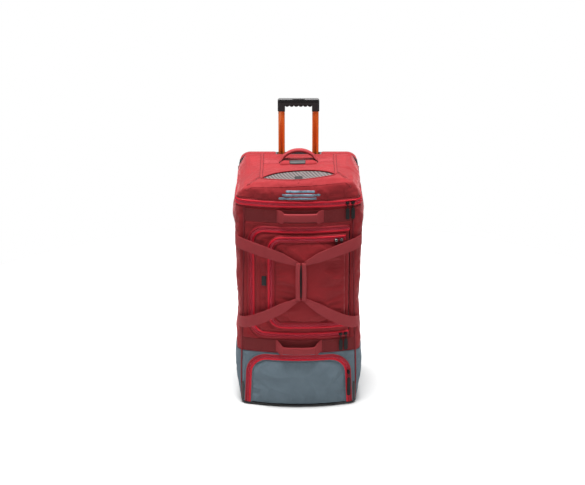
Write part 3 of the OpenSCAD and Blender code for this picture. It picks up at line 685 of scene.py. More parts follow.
# %% [markdown]
# ## The lid's cloth
# The lid is a soft cap: a wall above its zip that rolls over into the top, which is pieced from a middle
# strip and two sides, with short diagonal seams at the front corners. A lens-shaped vent is cut into it.
# It is made like the other panels, but over the lid's own form: a flat place is a plan of the lid with
# its wall folded out around it, so the distance from the edge decides the height.

# %% Lid form
LID_LOW, LID_EDGE = 0.740, 0.0455
VENT_HALF, VENT_Y = (0.1225, 0.056), -0.093
VENT_R = (VENT_HALF[0] ** 2 + VENT_HALF[1] ** 2) / (2 * VENT_HALF[1])
RISE_FROM = 0.042
RIM_RUN = np.array([0.0, 0.010, 0.025, 0.038, 0.046, 0.056, 0.068])
FRONT_IN = np.array([0.0, -0.0018, -0.0016, 0.0002, 0.0022, 0.0110, 0.0220])
FRONT_Z = np.array([LID_LOW, 0.750, 0.7650, 0.7780, 0.7862, 0.7900, 0.7925])
REAR_IN = np.array([0.0, 0.0000, 0.0060, 0.0140, 0.0185, 0.0250, 0.0340])
REAR_Z = np.array([LID_LOW, 0.750, 0.7640, 0.7780, 0.7870, 0.7945, 0.7965])
SIDE_IN = np.array([0.0, 0.0010, 0.0080, 0.0180, 0.0255, 0.0345, 0.0450])
SIDE_Z = np.array([LID_LOW, 0.750, 0.7630, 0.7725, 0.7780, 0.7820, 0.7845])


def lens(grow=0.0, count=60):
    """The vent's outline, two arcs that meet at its tips."""
    r, side = VENT_R + grow, VENT_R - VENT_HALF[1]
    half = math.acos(side / r)
    t = np.linspace(-half, half, count)
    front = np.stack([r * np.sin(t), VENT_Y + side - r * np.cos(t)], -1)
    return np.concatenate([front, (front * [-1, -1] + [0, 2 * VENT_Y])[1:-1]])


def twisted(points):
    """The lid leans: its left side sits lower than its right, fading out towards the zip."""
    fade = np.clip((points[:, 2] - LID_LOW) / 0.045, 0, 1)
    points[:, 2] += 0.055 * points[:, 0] * fade * np.clip((0.165 - points[:, 1]) / 0.14, 0, 1)
    return points


def crown(x, y):
    """The lid's top rises from its sides and front to its middle."""
    across = 1 - np.clip(np.abs(x) / 0.172, 0, 1) ** 3
    along = np.clip((0.13 - y) / 0.20, 0, 1) ** 1.5 * (1 - 0.8 * np.clip((-y - 0.135) / 0.05, 0, 1) ** 2)
    return 0.014 * across * along


SEAMS = [np.array([[k * 0.124, LID_BACK - 0.001], [k * 0.124, -0.085]]) for k in (-1, 1)]
SEAMS += [np.array([[-0.124, -0.080], [-0.140, -0.090], [-0.166, -0.1325]]),
          np.array([[0.124, -0.072], [0.135, -0.080], [0.170, -0.122]]),
          np.array([[0.0, VENT_Y - VENT_HALF[1]], [0.0, -0.166]])]
print("the top stands up to %.0f mm proud in its middle" % (1000 * crown(0, VENT_Y)))


# %% Lid mesh
def lid_cloth():
    """Rim rows round the lid's wall, then an even field over its top, with each point's flat place."""
    n = int(2 * lid_back_s / CLOTH_STEP)
    s = np.linspace(-lid_back_s, lid_back_s, n)
    front = np.interp(np.abs(s), [0.155, 0.235], [1, 0])
    rear = np.interp(np.abs(s), [0.36, lid_back_s - 0.01], [0, 1])
    forms = ((front, FRONT_IN, FRONT_Z), (rear, REAR_IN, REAR_Z), (1 - front - rear, SIDE_IN, SIDE_Z))
    rows = int(RIM_RUN[-1] / CLOTH_STEP) + 1
    points, uv = [], []
    for run in np.linspace(0, RIM_RUN[-1], rows):
        p = wall(s, 0.75, -sum(w * np.interp(run, RIM_RUN, i) for w, i, _ in forms), 0)[0]
        edge_z = sum(w * np.interp(run, RIM_RUN, z) for w, _, z in forms)
        share = np.clip((run - RISE_FROM) / (RIM_RUN[-1] - RISE_FROM), 0, 1)
        p[:, 2] = edge_z + crown(p[:, 0], p[:, 1]) * share
        points.append(p)
        uv.append(np.stack([s, np.full(n, LID_LOW + run)], -1))
    points, uv = np.concatenate(points), np.concatenate(uv)
    faces = [(r * n + k, r * n + k + 1, (r + 1) * n + k + 1, (r + 1) * n + k)
             for r in range(rows - 1) for k in range(n - 1)]
    last = (rows - 1) * n
    top_ring = points[last:, :2]
    rear = walked(top_ring[[-1, 0]], CLOTH_STEP)[1:-1]
    flat, triangles, _ = cut(np.concatenate([top_ring, rear]), [lens(0.0, 44)], exact=True)
    gap = np.linalg.norm(flat[:, None] - top_ring[None], axis=-1)
    rim_z = edge_z[gap.argmin(1)]
    blend = np.clip(gap.min(1) / 0.03, 0, 1)
    middle_z = 0.7905 + 0.006 * np.clip((flat[:, 1] - 0.06) / 0.1, 0, 1)
    top = np.stack([flat[:, 0], flat[:, 1], rim_z * (1 - blend) + middle_z * blend + crown(*flat.T)], -1)
    same = gap.min(1) < 1e-6
    index = np.where(same, last + gap.argmin(1), len(points) + np.cumsum(~same) - 1)
    top[same] = points[last + gap.argmin(1)[same]]
    faces += [tuple(index[list(t)]) for t in triangles]
    on_top = np.concatenate([np.zeros(len(points), bool), np.ones((~same).sum(), bool)])
    return np.concatenate([points, top[~same]]), faces, np.concatenate([uv, flat[~same]]), on_top, n


points, faces, uv, on_top, n = lid_cloth()
print("lid mesh:", len(points), "points,", int(on_top.sum()), "of them on its top")

# %% Lid cloth
plan = points[:, :2].copy()
sewn = np.zeros(len(points), bool)
sewn[:n] = True
sewn |= plan[:, 1] > LID_BACK - 1e-4
gap_to_seams = np.where(on_top, from_lines(plan, SEAMS[:4] + [loop(lens(0.006, 60))]), 0.05)
near_vent = on_top & (from_lines(plan, [loop(lens(0, 44))]) < 0.009)
front_edge = (~on_top) & (np.abs(uv[:, 1] - LID_LOW - LID_EDGE) < 0.004) & (np.abs(uv[:, 0]) < 0.175)
sewn |= (gap_to_seams < 0.0032) | front_edge | near_vent
points = twisted(points)
lid = make("lid_cloth", points, faces, red_cloth, uv=uv)
lid.data.update()
out = np.array([tuple(v.normal) for v in lid.data.vertices])
rim_gap = np.where(on_top, 0.06, np.minimum(uv[:, 1] - LID_LOW, np.abs(uv[:, 1] - LID_LOW - LID_EDGE)))
rise = swelling(uv, np.minimum(gap_to_seams, rim_gap), 0.0035, 0.035)
waiting.append(dict(obj=lid, pinned=sewn, push=1.1, spare=0.04, cap=0.0075, out=out))
print("lid cloth:", int(sewn.sum()), "points sewn")

# %% [markdown]
# ## Filling the cloth
# All panels are simulated together. Each is held where it is sewn, grows by its spare share so that it
# has cloth to pucker with, and is pushed from inside. Gravity is off, because the padding carries it.
# Then each point's move is capped, the modifier is taken off, and the panel gets its thickness.

# %% Cloth settings
FRAMES = 22


def start_cloth(job):
    obj = job["obj"]
    held = obj.vertex_groups.new(name="sewn")
    held.add([int(k) for k in np.flatnonzero(job["pinned"])], 1.0, "REPLACE")
    cloth = obj.modifiers.new("cloth", "CLOTH")
    now = cloth.settings
    now.quality, now.mass, now.air_damping = 5, 0.25, 2.0
    now.tension_stiffness = now.compression_stiffness = 18
    now.shear_stiffness, now.bending_stiffness = 6, 0.25
    now.tension_damping = now.compression_damping = 8
    now.use_pressure, now.uniform_pressure_force = True, job["push"]
    now.vertex_group_mass, now.shrink_min = "sewn", -job["spare"]
    now.effector_weights.gravity = 0
    cloth.collision_settings.use_collision = False
    cloth.point_cache.frame_start, cloth.point_cache.frame_end = 1, FRAMES


print("panels waiting:", len(waiting))

# %% [markdown]
# ## Folds that stay
# Heavy cloth keeps soft ridged folds from being packed and carried, which a short simulation can't grow.
# They come from a fixed noise field, folded about zero so that it has ridges, and fade out at the seams.

# %% Folds
CREASE = 0.0030


def creases(points, sewn):
    """Soft ridged folds, as heavy cloth keeps them, fading out at the seams."""
    tree = kdtree.KDTree(int(sewn.sum()))
    for k, p in enumerate(points[sewn]):
        tree.insert(p, k)
    tree.balance()
    rise = np.zeros(len(points))
    for k, p in enumerate(points):
        bend = noise.noise_vector(Vector(p) * 7) * 0.05
        q = Vector(p) + bend
        ridge = (1 - abs(noise.noise(Vector((q.x * 11 + q.z * 6, q.y * 11, q.z * 8))))) ** 5
        rise[k] = (ridge - 0.35) * min(tree.find(p)[2] / 0.03, 1)
    return rise


print("folds stand up to %.1f mm" % (CREASE * 650))


# %% Running the simulation
def take_cloth(job):
    """Reads the simulated points, caps their move and puts them in the mesh."""
    obj, graph = job["obj"], bpy.context.evaluated_depsgraph_get()
    rest = np.array([tuple(v.co) for v in obj.data.vertices])
    now = np.array([tuple(v.co) for v in obj.evaluated_get(graph).data.vertices])
    move = now - rest
    size = np.linalg.norm(move, axis=1)
    cap = job["cap"]
    soft = np.where(size > 1e-9, cap * np.tanh(size / cap) / np.maximum(size, 1e-9), 1)
    inward = np.minimum((move * job["out"]).sum(1), 0)
    move = move * soft[:, None] - job["out"] * (0.6 * inward * soft)[:, None]
    move += job["out"] * (CREASE * creases(rest, job["pinned"]))[:, None]
    obj.modifiers.clear()
    obj.vertex_groups.clear()
    obj.data.vertices.foreach_set("co", (rest + move).ravel())
    obj.data.update()
    return size.max()


for job in waiting:
    start_cloth(job)
for k in range(1, FRAMES + 1):
    bpy.context.scene.frame_set(k)
moves = {job["obj"].name: round(take_cloth(job) * 1000, 1) for job in waiting}
bpy.context.scene.frame_set(1)
print("furthest moves before the cap, mm:", moves)

# %% Thickness
surface = {}
for job in waiting:
    obj = job["obj"]
    surface[obj.name] = BVHTree.FromObject(obj, bpy.context.evaluated_depsgraph_get())
    thickened(obj, CLOTH_THICK)
print("panels filled:", len(surface))


# %% Laying things on the cloth
def hug(names, points, out, lift=0.0):
    """Moves points along their outward directions onto the named cloths."""
    points, out = np.array(points, float), np.asarray(out, float)
    for k in range(len(points)):
        start = Vector(points[k] + out[k] * 0.03)
        best = None
        for name in names:
            hit = surface[name].ray_cast(start, Vector(-out[k]), 0.06)
            if hit[0] is not None and (best is None or hit[3] < best[1]):
                best = (hit[0], hit[3])
        if best is not None:
            points[k] = np.array(best[0]) + out[k] * lift
    return points


print("cloths to lay things on:", sorted(surface))

# %% Panels on their bodies
for obj, body, slot, nodes in (
        ("front_frame_cloth", "bag", "red_fabric",
         ("front_upper_panel", "front_side_strips", "front_lower_panel")),
        ("slate_front_cloth", "bag", "slate_fabric", ("base_front_panel",)),
        ("right_side_cloth", "bag", "red_fabric", ("side_panels",)),
        ("left_side_cloth", "bag", "red_fabric", ()),
        ("right_slate_cloth", "bag", "slate_fabric", ("lower_side_panels",)),
        ("left_slate_cloth", "bag", "slate_fabric", ()),
        ("back_cloth", "bag", "grey_fabric", ("back_panel",)),
        ("main_door_cloth", "main_door", "red_fabric", ("main_door_panel",)),
        ("pocket_cloth", "main_door", "red_fabric", ("pocket_panel",)),
        ("base_door_cloth", "base_door", "slate_fabric", ("base_door_panel",)),
        ("lid_cloth", "lid", "red_fabric", ("lid_shell",))):
    settle(bpy.data.objects[obj], body, slot, *nodes)
print("padded panels:", len(waiting))

# %% [markdown]
# ## A section swept along a seam
# Zip rolls, piping and webbing are all a small section carried along a line on the wall. The section is
# given as (u, h): u to the left of the line, h straight out of the cloth. The ends are closed, and the
# faces are turned round if the sweep came out inside out.


# %% Sweeping
def closed_sweep(rows, count):
    """Faces of a closed tube of that many rows, each a ring of count points."""
    faces = [(r * count + k, r * count + (k + 1) % count, (r + 1) * count + (k + 1) % count,
              (r + 1) * count + k) for r in range(rows - 1) for k in range(count)]
    last = (rows - 1) * count
    return faces + [tuple(range(count - 1, -1, -1)), tuple(range(last, last + count))]


def volume(points, faces):
    total = 0.0
    for f in faces:
        for k in range(1, len(f) - 1):
            total += np.dot(points[f[0]], np.cross(points[f[k]], points[f[k + 1]]))
    return total


def outwards(points, faces):
    return faces if volume(points, faces) > 0 else [tuple(f[::-1]) for f in faces]


def strip(name, line, section, finish, d=0.0):
    line, (u, h) = np.asarray(line, float), np.asarray(section, float).T
    left = sideways(line)
    s = line[:, None, 0] + left[:, None, 0] * u
    z = line[:, None, 1] + left[:, None, 1] * u
    points = wall(s, z, d + h)[0].reshape(-1, 3)
    run = np.concatenate([[0], np.cumsum(np.linalg.norm(np.diff(line, axis=0), axis=1))])
    uv = np.stack([np.broadcast_to(u, s.shape), np.broadcast_to(run[:, None], s.shape)], -1)
    return make(name, points, outwards(points, closed_sweep(*s.shape)), finish, uv=uv.reshape(-1, 2))


def round_section(radius, height):
    t = np.linspace(0, 2 * math.pi, 10, endpoint=False)
    return np.stack([radius * np.cos(t), height + radius * np.sin(t)], -1)


def band_section(width, thick):
    """Flat webbing with soft edges."""
    t = np.linspace(0, 2 * math.pi, 20, endpoint=False)
    c, s = np.cos(t), np.sin(t)
    return np.stack([np.sign(c) * np.abs(c) ** 0.25 * width / 2,
                     thick / 2 + np.sign(s) * np.abs(s) ** 0.6 * thick / 2], -1)


print("sweeps ready")

# %% [markdown]
# ## Beads along a line, with Geometry Nodes
# A zip's teeth and a row of stitches are the same idea: one small shape repeated at an even pitch. The
# tree below turns a line of edges into a curve, resamples it by length, turns a bead to lie along it with
# its back to the cloth (the line carries an "out" direction), and makes the copies real. Its inputs are
# the pitch, the bead's size and its finish.


# %% The bead tree
def bead_tree():
    tree = bpy.data.node_groups.new("Beads along a line", "GeometryNodeTree")
    face, add, link = tree.interface, tree.nodes.new, tree.links.new
    sockets = {name: face.new_socket(name, in_out="INPUT", socket_type="NodeSocket" + kind)
               for name, kind in (("Line", "Geometry"), ("Pitch", "Float"), ("Size", "Vector"),
                                  ("Finish", "Material"))}
    face.new_socket("Beads", in_out="OUTPUT", socket_type="NodeSocketGeometry")
    start, end = add("NodeGroupInput"), add("NodeGroupOutput")
    curve, even = add("GeometryNodeMeshToCurve"), add("GeometryNodeResampleCurve")
    even.mode = "LENGTH"
    link(start.outputs["Line"], curve.inputs["Mesh"])
    link(curve.outputs["Curve"], even.inputs["Curve"])
    link(start.outputs["Pitch"], even.inputs["Length"])
    bead = add("GeometryNodeMeshIcoSphere")
    bead.inputs["Radius"].default_value = 0.5
    bead.inputs["Subdivisions"].default_value = 1
    smooth = add("GeometryNodeSetShadeSmooth")
    link(bead.outputs["Mesh"], smooth.inputs["Geometry"])
    tangent, out = add("GeometryNodeInputTangent"), add("GeometryNodeInputNamedAttribute")
    out.data_type = "FLOAT_VECTOR"
    out.inputs["Name"].default_value = "out"
    along, up = add("FunctionNodeAlignRotationToVector"), add("FunctionNodeAlignRotationToVector")
    along.axis, up.axis, up.pivot_axis = "X", "Z", "X"
    link(tangent.outputs["Tangent"], along.inputs["Vector"])
    link(along.outputs["Rotation"], up.inputs["Rotation"])
    link(out.outputs["Attribute"], up.inputs["Vector"])
    copies = add("GeometryNodeInstanceOnPoints")
    link(even.outputs["Curve"], copies.inputs["Points"])
    link(smooth.outputs["Geometry"], copies.inputs["Instance"])
    link(up.outputs["Rotation"], copies.inputs["Rotation"])
    link(start.outputs["Size"], copies.inputs["Scale"])
    real, paint = add("GeometryNodeRealizeInstances"), add("GeometryNodeSetMaterial")
    link(copies.outputs["Instances"], real.inputs["Geometry"])
    link(real.outputs["Geometry"], paint.inputs["Geometry"])
    link(start.outputs["Finish"], paint.inputs["Material"])
    link(paint.outputs["Geometry"], end.inputs["Beads"])
    return tree, {name: socket.identifier for name, socket in sockets.items()}


BEADS, BEAD_INPUT = bead_tree()
print("bead tree:", len(BEADS.nodes), "nodes")


# %% Laying beads
def beads(name, lines, finish, pitch, size):
    """Beads along several lines, each (points, outward directions)."""
    points = np.concatenate([p for p, _ in lines])
    outs = np.concatenate([np.broadcast_to(o, p.shape) for p, o in lines])
    edges, start = [], 0
    for p, _ in lines:
        edges += [(start + k, start + k + 1) for k in range(len(p) - 1)]
        start += len(p)
    mesh = bpy.data.meshes.new(name)
    mesh.from_pydata([tuple(p) for p in points], edges, [])
    carried = mesh.attributes.new("out", "FLOAT_VECTOR", "POINT")
    carried.data.foreach_set("vector", np.asarray(outs, np.float32).ravel())
    obj = bpy.data.objects.new(name, mesh)
    bpy.context.collection.objects.link(obj)
    nodes = obj.modifiers.new("beads", "NODES")
    nodes.node_group = BEADS
    nodes[BEAD_INPUT["Pitch"]] = pitch
    nodes[BEAD_INPUT["Size"]] = size
    nodes[BEAD_INPUT["Finish"]] = finish
    applied(obj)
    obj.data.materials.clear()
    obj.data.materials.append(finish)
    return obj


print("inputs of the tree:", BEAD_INPUT)

# %% [markdown]
# ## Zips
# Each side of a zip is a tape whose outer part is folded over a cord, which gives the roll, and
# whose inner edge carries the coil. The roll's colour is painted lighter on the sides that stand lit and
# darker on those in shade. The two sides of a zip ride on different bodies, so each is its own
# piece, and the case's zips all stay behind when a door opens.

# %% Zip parts
ROLL = [(0.0036, 0.0004), (0.0038, 0.0020), (0.0050, 0.0034), (0.0066, 0.0039), (0.0084, 0.0036),
        (0.0100, 0.0026), (0.0108, 0.0012), (0.0108, -0.0008), (0.0038, -0.0008)]
FLAT = [(0.0002, 0.0002), (0.0006, 0.0012), (0.0042, 0.0018), (0.0050, 0.0010), (0.0050, -0.0008),
        (0.0002, -0.0008)]
HEM = [(0.0100, 0.0004), (0.0106, 0.0016), (0.0130, 0.0017), (0.0140, 0.0008), (0.0138, -0.0008),
       (0.0100, -0.0008)]
COIL_PITCH, COIL_SIZE = 0.0023, (0.0016, 0.0040, 0.0028)


def offset(line, u):
    return line + sideways(line) * u


def zip_side(name, line, side, d=0.0, roll=painted_lit_roll, hem=red_cloth):
    """One side of a zip: its roll, its tape, its hem and its coil. side 1 is to the left of the line."""
    parts = [strip(name, line, [(side * u, h) for u, h in section], finish, d)
             for section, finish in ((ROLL, roll), (FLAT, zip_cloth), (HEM, hem))]
    points, out = wall(*offset(line, side * 0.0019).T, d + 0.0024)
    parts.append(beads(name + "_coil", [(points, out)], zip_coil, COIL_PITCH, COIL_SIZE))
    return parts


print("a zip's side is three swept sections and its coil")

# %% All the zips
# The fixed sides of the main and base zips and the pocket's inner side take the darker painted-shade copy
# of the roll; all other sides take the lighter painted-light copy.
fixed = zip_side("a", lid_line, -1) + zip_side("b", main_line, 1, 0, painted_shaded_roll) \
    + zip_side("c", base_line, 1, 0, painted_shaded_roll, slate_cloth)
settle(joined("fixed_zips", fixed), "bag", "zip_tape", "fixed_zip_tapes")
settle(joined("lid_zip", zip_side("d", lid_line, 1)), "lid", "zip_tape", "lid_zip_tape")
door = zip_side("e", main_line, -1) + zip_side("f", pocket_line, 1, POCKET_D) \
    + zip_side("g", pocket_line, -1, POCKET_D, painted_shaded_roll)
wall_section = [(0.0128, -0.0010), (0.0134, POCKET_D + 0.001), (0.0120, POCKET_D + 0.001),
                (0.0118, -0.0010)]
door.append(strip("h", pocket_line, wall_section, red_cloth))
settle(joined("door_zips", door), "main_door", "zip_tape", "main_door_zip_tapes")
base_zip = joined("base_door_zip", zip_side("k", base_line, -1, 0, painted_lit_roll, slate_cloth))
settle(base_zip, "base_door", "zip_tape", "base_door_zip_tape")
print("coil pitch %.1f mm" % (COIL_PITCH * 1000))

# %% [markdown]
# ## Webbing bands
# Broad ribbed webbing is sewn flat across the front above and below the main door. It spreads the load
# of the grab handles. Shorter lengths of it hold the carry straps' ends on the sides.

# %% Bands
WEB_T = 0.0018


def level(s0, s1, z):
    return walked([[s0, z], [s1, z]], 0.006)


fronts = [strip("band", level(0.001 - seam_s(z), seam_s(z) - 0.001, z), band_section(BAND_W, WEB_T),
                band_webbing, 0.0002) for z in BAND_Z]
settle(joined("front_bands", fronts), "bag", "red_webbing", "front_webbing")
ROOT_S = S_CORNER + 0.165 - CORNER_Y, S_CORNER - 0.102 - CORNER_Y
roots = [strip("root", level(way * ROOT_S[1], way * ROOT_S[0], z), band_section(BAND_W, WEB_T),
               strap_webbing, 0.0012) for way in (1, -1) for z in STRAP_Z]
settle(joined("side_bands", roots), "bag", "red_webbing", "side_webbing")
print("bands %.0f mm wide" % (BAND_W * 1000))


# %% Webbing through the air
def smooth_through(rows, count):
    """A smooth curve through rows of numbers, count points to each gap."""
    rows = np.asarray(rows, float)
    full = np.concatenate([2 * rows[:1] - rows[1:2], rows, 2 * rows[-1:] - rows[-2:-1]])
    t = np.linspace(0, 1, count, endpoint=False)[:, None]
    parts = []
    for k in range(1, len(full) - 2):
        a, b, c, e = full[k - 1:k + 3]
        parts.append(0.5 * (2 * b + (c - a) * t + (2 * a - 5 * b + 4 * c - e) * t ** 2
                            + (3 * b - 3 * c + e - a) * t ** 3))
    return np.concatenate([*parts, rows[-1:]])


def ribbon(name, middle, across, out, width, thick, finish, edge=0.25):
    """Webbing through the air: at each middle point, a flat section across by out."""
    t = np.linspace(0, 2 * math.pi, 20, endpoint=False)
    c, s = np.cos(t), np.sin(t)
    u = (np.sign(c) * np.abs(c) ** edge / 2)[None, :] * np.asarray(width)[:, None]
    h = (np.sign(s) * np.abs(s) ** 0.6 / 2)[None, :] * np.asarray(thick)[:, None]
    points = middle[:, None] + across[:, None] * u[..., None] + out[:, None] * h[..., None]
    run = np.concatenate([[0], np.cumsum(np.linalg.norm(np.diff(middle, axis=0), axis=1))])
    uv = np.stack([u, np.broadcast_to(run[:, None], u.shape)], -1).reshape(-1, 2)
    points = points.reshape(-1, 3)
    return make(name, points, outwards(points, closed_sweep(len(middle), 20)), finish, uv=uv)


def unit(v):
    return v / (np.linalg.norm(v, axis=-1, keepdims=True) + 1e-12)


print("ribbons ready")

# %% [markdown]
# ## Grab handles on the front
# A handle is webbing folded double in the middle, so it is narrower and thicker there, and it flares to
# the band's full width where it is sewn down. The lower one hangs a little.

# %% Grab handles
# Share of the half length, height over the band, width and thickness, in millimetres
HALF_GRAB = [(0.3, 15.2, 27, 8.5), (0.66, 14.6, 27, 8.5), (0.74, 15.4, 32, 6), (0.80, 13.5, 42, 3.2),
             (0.90, 7, 44, 2.8), (1.0, 1.2, 43, 2.6), (1.07, 0.2, 42, 2.2)]
GRAB = [(-share, *rest) for share, *rest in HALF_GRAB[::-1]] + [(0, 15.4, 27, 8.5)] + HALF_GRAB
GRAB_HALF = 0.072
GRAB_X = (0.006, 0.001)


def grab_handle(name, z, drop, centre):
    shape = smooth_through(GRAB, 5)
    x = centre + shape[:, 0] * GRAB_HALF
    s = s_at(x)
    height = z - drop * np.clip(1 - shape[:, 0] ** 6, 0, 1)
    middle, out = wall(s, height, WEB_T + shape[:, 1] / 1000, 0)
    tilt = 16 * drop * np.clip(1 - shape[:, 0] ** 4, 0, 1)
    across = np.stack([0 * s, -np.sin(tilt), np.cos(tilt)], -1)
    return ribbon(name, middle, across, out, shape[:, 2] / 1000, shape[:, 3] / 1000, strap_webbing, 0.4)


grabs = [grab_handle("upper", 0.687, 0.0, GRAB_X[0]), grab_handle("lower", 0.225, 0.012, GRAB_X[1])]
settle(joined("grab_handles", grabs), "bag", "red_webbing", "front_grab_handles")
print("grab handles made")

# %% [markdown]
# ## Carry straps
# Two long straps come round the bag's sides and meet over the main door. Each arm turns from lying flat
# on the side to facing forwards, sags a little, and is folded in half at the grip. The left grip is
# turned on edge and the right one lies flat.

# %% Carry straps
FOLD = np.array([0.2086, -0.103])
LEAN = 0.100, -0.061


def strap_curve(root, lean, grip, t):
    """An arm's middle line, from its root on the side to the end of the grip."""
    near = root + np.array([-0.02, 0, 0.02])
    side_x = wall(np.full(3, ROOT_S[1]), near, WEB_T + 0.0016)[0][:, 0].max()
    c = np.array([[side_x, FOLD[1], root], [side_x + 0.0005, FOLD[1] - 0.065, root],
                  [FOLD[0] - 0.044, grip[1] + 0.009, root - 0.04 * lean],
                  [grip[0], grip[1], root + lean]])
    w = np.stack([(1 - t) ** 3, 3 * t * (1 - t) ** 2, 3 * t ** 2 * (1 - t), t ** 3], -1)
    return w @ c


def carry_strap(name, way, grip, turn):
    t = np.linspace(0, 1, 37)
    flip = np.array([way, 1, 1])
    parts = []
    for root, lean in ((STRAP_Z[0], LEAN[0]), (STRAP_Z[1], LEAN[1])):
        middle = strap_curve(root, lean, grip, t)
        out = np.stack([np.interp(t, [0, 0.16, 0.45, 1], [1, 0.9, 0.14, 0.05]),
                        -np.interp(t, [0, 0.3], [0, 1]), 0 * t], -1)
        tangent = unit(np.gradient(middle, axis=0))
        across = unit(np.cross(unit(out), tangent))
        width = (0.0415 - 0.0105 * t ** 3) * np.interp(t, [0, 0.88, 1], [1, 1, 0.42])
        over = unit(np.cross(tangent, across))
        parts.append(ribbon("arm", middle * flip, across * flip, over * flip, width,
                            0.0022 + 0.001 * t ** 9, strap_webbing))
    z = np.linspace(STRAP_Z[0] + LEAN[0] - 0.004, STRAP_Z[1] + LEAN[1] + 0.004, 26)
    bow = np.sin(np.linspace(0, math.pi, 26))
    middle = np.stack([grip[0] + 0.0016 * bow, grip[1] - 0.0015 + 0 * z, z], -1)
    angle = turn * (0.35 + 0.65 * bow)
    across = np.stack([np.cos(angle), np.sin(angle), 0 * z], -1)
    out = np.stack([np.sin(angle), -np.cos(angle), 0 * z], -1)
    parts.append(ribbon("grip", middle * flip, across * flip, out * flip, 0.0150 + 0 * z,
                        0.0062 + 0 * z, strap_webbing))
    return joined(name, parts)


print("an arm leaves the side %.0f mm behind the front corner" % ((FOLD[1] - CORNER_Y) * 1000))

# %% Both straps
right = carry_strap("right_strap", 1, (0.0180, -0.199), 0.0)
settle(right, "right_strap", "red_webbing", "right_carry_strap")
# A thin black strip set in the gap between the two grips: a painted shadow, where the gap falls into
# shade.
z = np.linspace(0.410, 0.522, 12)
closure = ribbon("closure", np.stack([0.0078 + 0 * z, -0.1995 + 0 * z, z], -1),
                 np.tile([1.0, 0, 0], (12, 1)), np.tile([0, -1.0, 0], (12, 1)), 0.0056 + 0 * z,
                 0.003 + 0 * z, black_rubber)
left = carry_strap("left_arms", -1, (0.0010, -0.200), 0.6)
settle(joined("left_strap", [left, closure]), "left_strap", "red_webbing", "left_carry_strap")
print("carry straps made")

# %% [markdown]
# ## The vent and the lid's handle
# The vent is spacer mesh: a springy knit with small holes, set a little below the cloth and bound at its
# edge. The handle over it is a rolled strap above a padded flap, with a plain rubber tag on the flap.

# %% Spacer mesh finish
knit = Finish("spacer_mesh", rough=0.8, specular=0.2)
spots = knit.node("TexVoronoi", {"Vector": knit.place(), "Scale": 290.0,
                                 "Randomness": 0.0}).outputs["Distance"]
hole = knit.node("MapRange", {"Value": spots, "From Min": 0.18, "From Max": 0.42}).outputs[0]
at = knit.node("SeparateXYZ", {0: knit.place()}).outputs
slant = knit.math("ADD", knit.math("MULTIPLY", at[0], 2 * math.pi / 0.0115),
                  knit.math("MULTIPLY", at[1], 2 * math.pi / 0.030))
ridge = knit.math("MULTIPLY", knit.math("ADD", knit.math("SINE", slant), 1.0), 0.5)
patchy = knit.node("MapRange", {"Value": knit.grain(knit.place(), 16, 3), "From Min": 0.5,
                                "From Max": 0.72}).outputs[0]
ridge = knit.math("MAXIMUM", ridge, patchy)
# Painted light and shade: the holes are painted dark, as shade inside the knit, and the slanting bands
# are painted as lit and shaded ridges. The same pattern also drives the relief.
lit = knit.math("ADD", knit.math("MULTIPLY", hole, 0.45), knit.math("MULTIPLY", ridge, 0.55))
knit.colour(knit.between(lit, (0.0, rgb(40, 37, 37)), (0.5, rgb(72, 66, 66)),
                         (1.0, rgb(120, 111, 110))))
knit.relief(lit, 0.0012, 0.9)
tag_finish = plastic("tag_rubber", rgb(50, 49, 50), 0.6, relief=0.00005, wear=1.15)
print("spacer mesh:", len(knit.tree.nodes), "nodes")


# %% Vent
def lid_surface(points, lift=0.0):
    """Drops flat places onto the lid's cloth from above."""
    found = []
    for x, y in points:
        hit = surface["lid_cloth"].ray_cast(Vector((x, y, 0.85)), Vector((0, 0, -1)), 0.15)
        found.append(hit[0].z + lift if hit[0] is not None else np.nan)
    z = np.array(found)
    bad = np.isnan(z)
    if bad.any() and not bad.all():
        near = np.linalg.norm(points[bad][:, None] - points[~bad][None], axis=-1).argmin(1)
        z[bad] = z[~bad][near]
    return np.concatenate([points, z[:, None]], 1)


flat, triangles, gap = cut(lens(0.004), [], 0.005)
rim = lid_surface(lens(0.003, 60))
reach_of = np.linalg.norm(flat[:, None] - rim[None, :, :2], axis=-1)
edge_z = (rim[None, :, 2] / reach_of.clip(1e-4) ** 2).sum(1) / (1 / reach_of.clip(1e-4) ** 2).sum(1)
sag = 0.0045 * np.sin(np.clip(gap / 0.05, 0, 1) * math.pi / 2)
ripple = noise_at(flat, 22, 40, 1.0) * 0.0012
vent = make("vent_knit", np.stack([flat[:, 0], flat[:, 1], edge_z - 0.0028 - sag + ripple], -1),
            triangles, knit.material, uv=flat)
thickened(vent, 0.0018)
print("vent %.0f mm long" % (VENT_HALF[0] * 2000))


# %% Cords and the vent's binding
def tube(name, middle, radius, finish, sides=10, closed=False, up=(0, 0, 1)):
    """A round cord along points in space."""
    middle = np.asarray(middle, float)
    tangent = unit(np.gradient(middle, axis=0))
    if closed:
        tangent = unit(np.roll(middle, -1, 0) - np.roll(middle, 1, 0))
    across = unit(np.cross(tangent, np.broadcast_to(up, tangent.shape)))
    over = np.cross(across, tangent)
    t = np.linspace(0, 2 * math.pi, sides, endpoint=False)
    ring = across[:, None] * np.cos(t)[None, :, None] + over[:, None] * np.sin(t)[None, :, None]
    points = (middle[:, None] + ring * radius).reshape(-1, 3)
    rows = len(middle)
    faces = closed_sweep(rows, sides)
    if closed:
        faces = faces[:-2] + [((rows - 1) * sides + k, (rows - 1) * sides + (k + 1) % sides,
                               (k + 1) % sides, k) for k in range(sides)]
    run = np.concatenate([[0], np.cumsum(np.linalg.norm(np.diff(middle, axis=0), axis=1))])
    uv = np.stack([np.broadcast_to(t * 0.003, (rows, sides)),
                   np.broadcast_to(run[:, None], (rows, sides))], -1)
    return make(name, points, outwards(points, faces), finish, uv=uv.reshape(-1, 2))


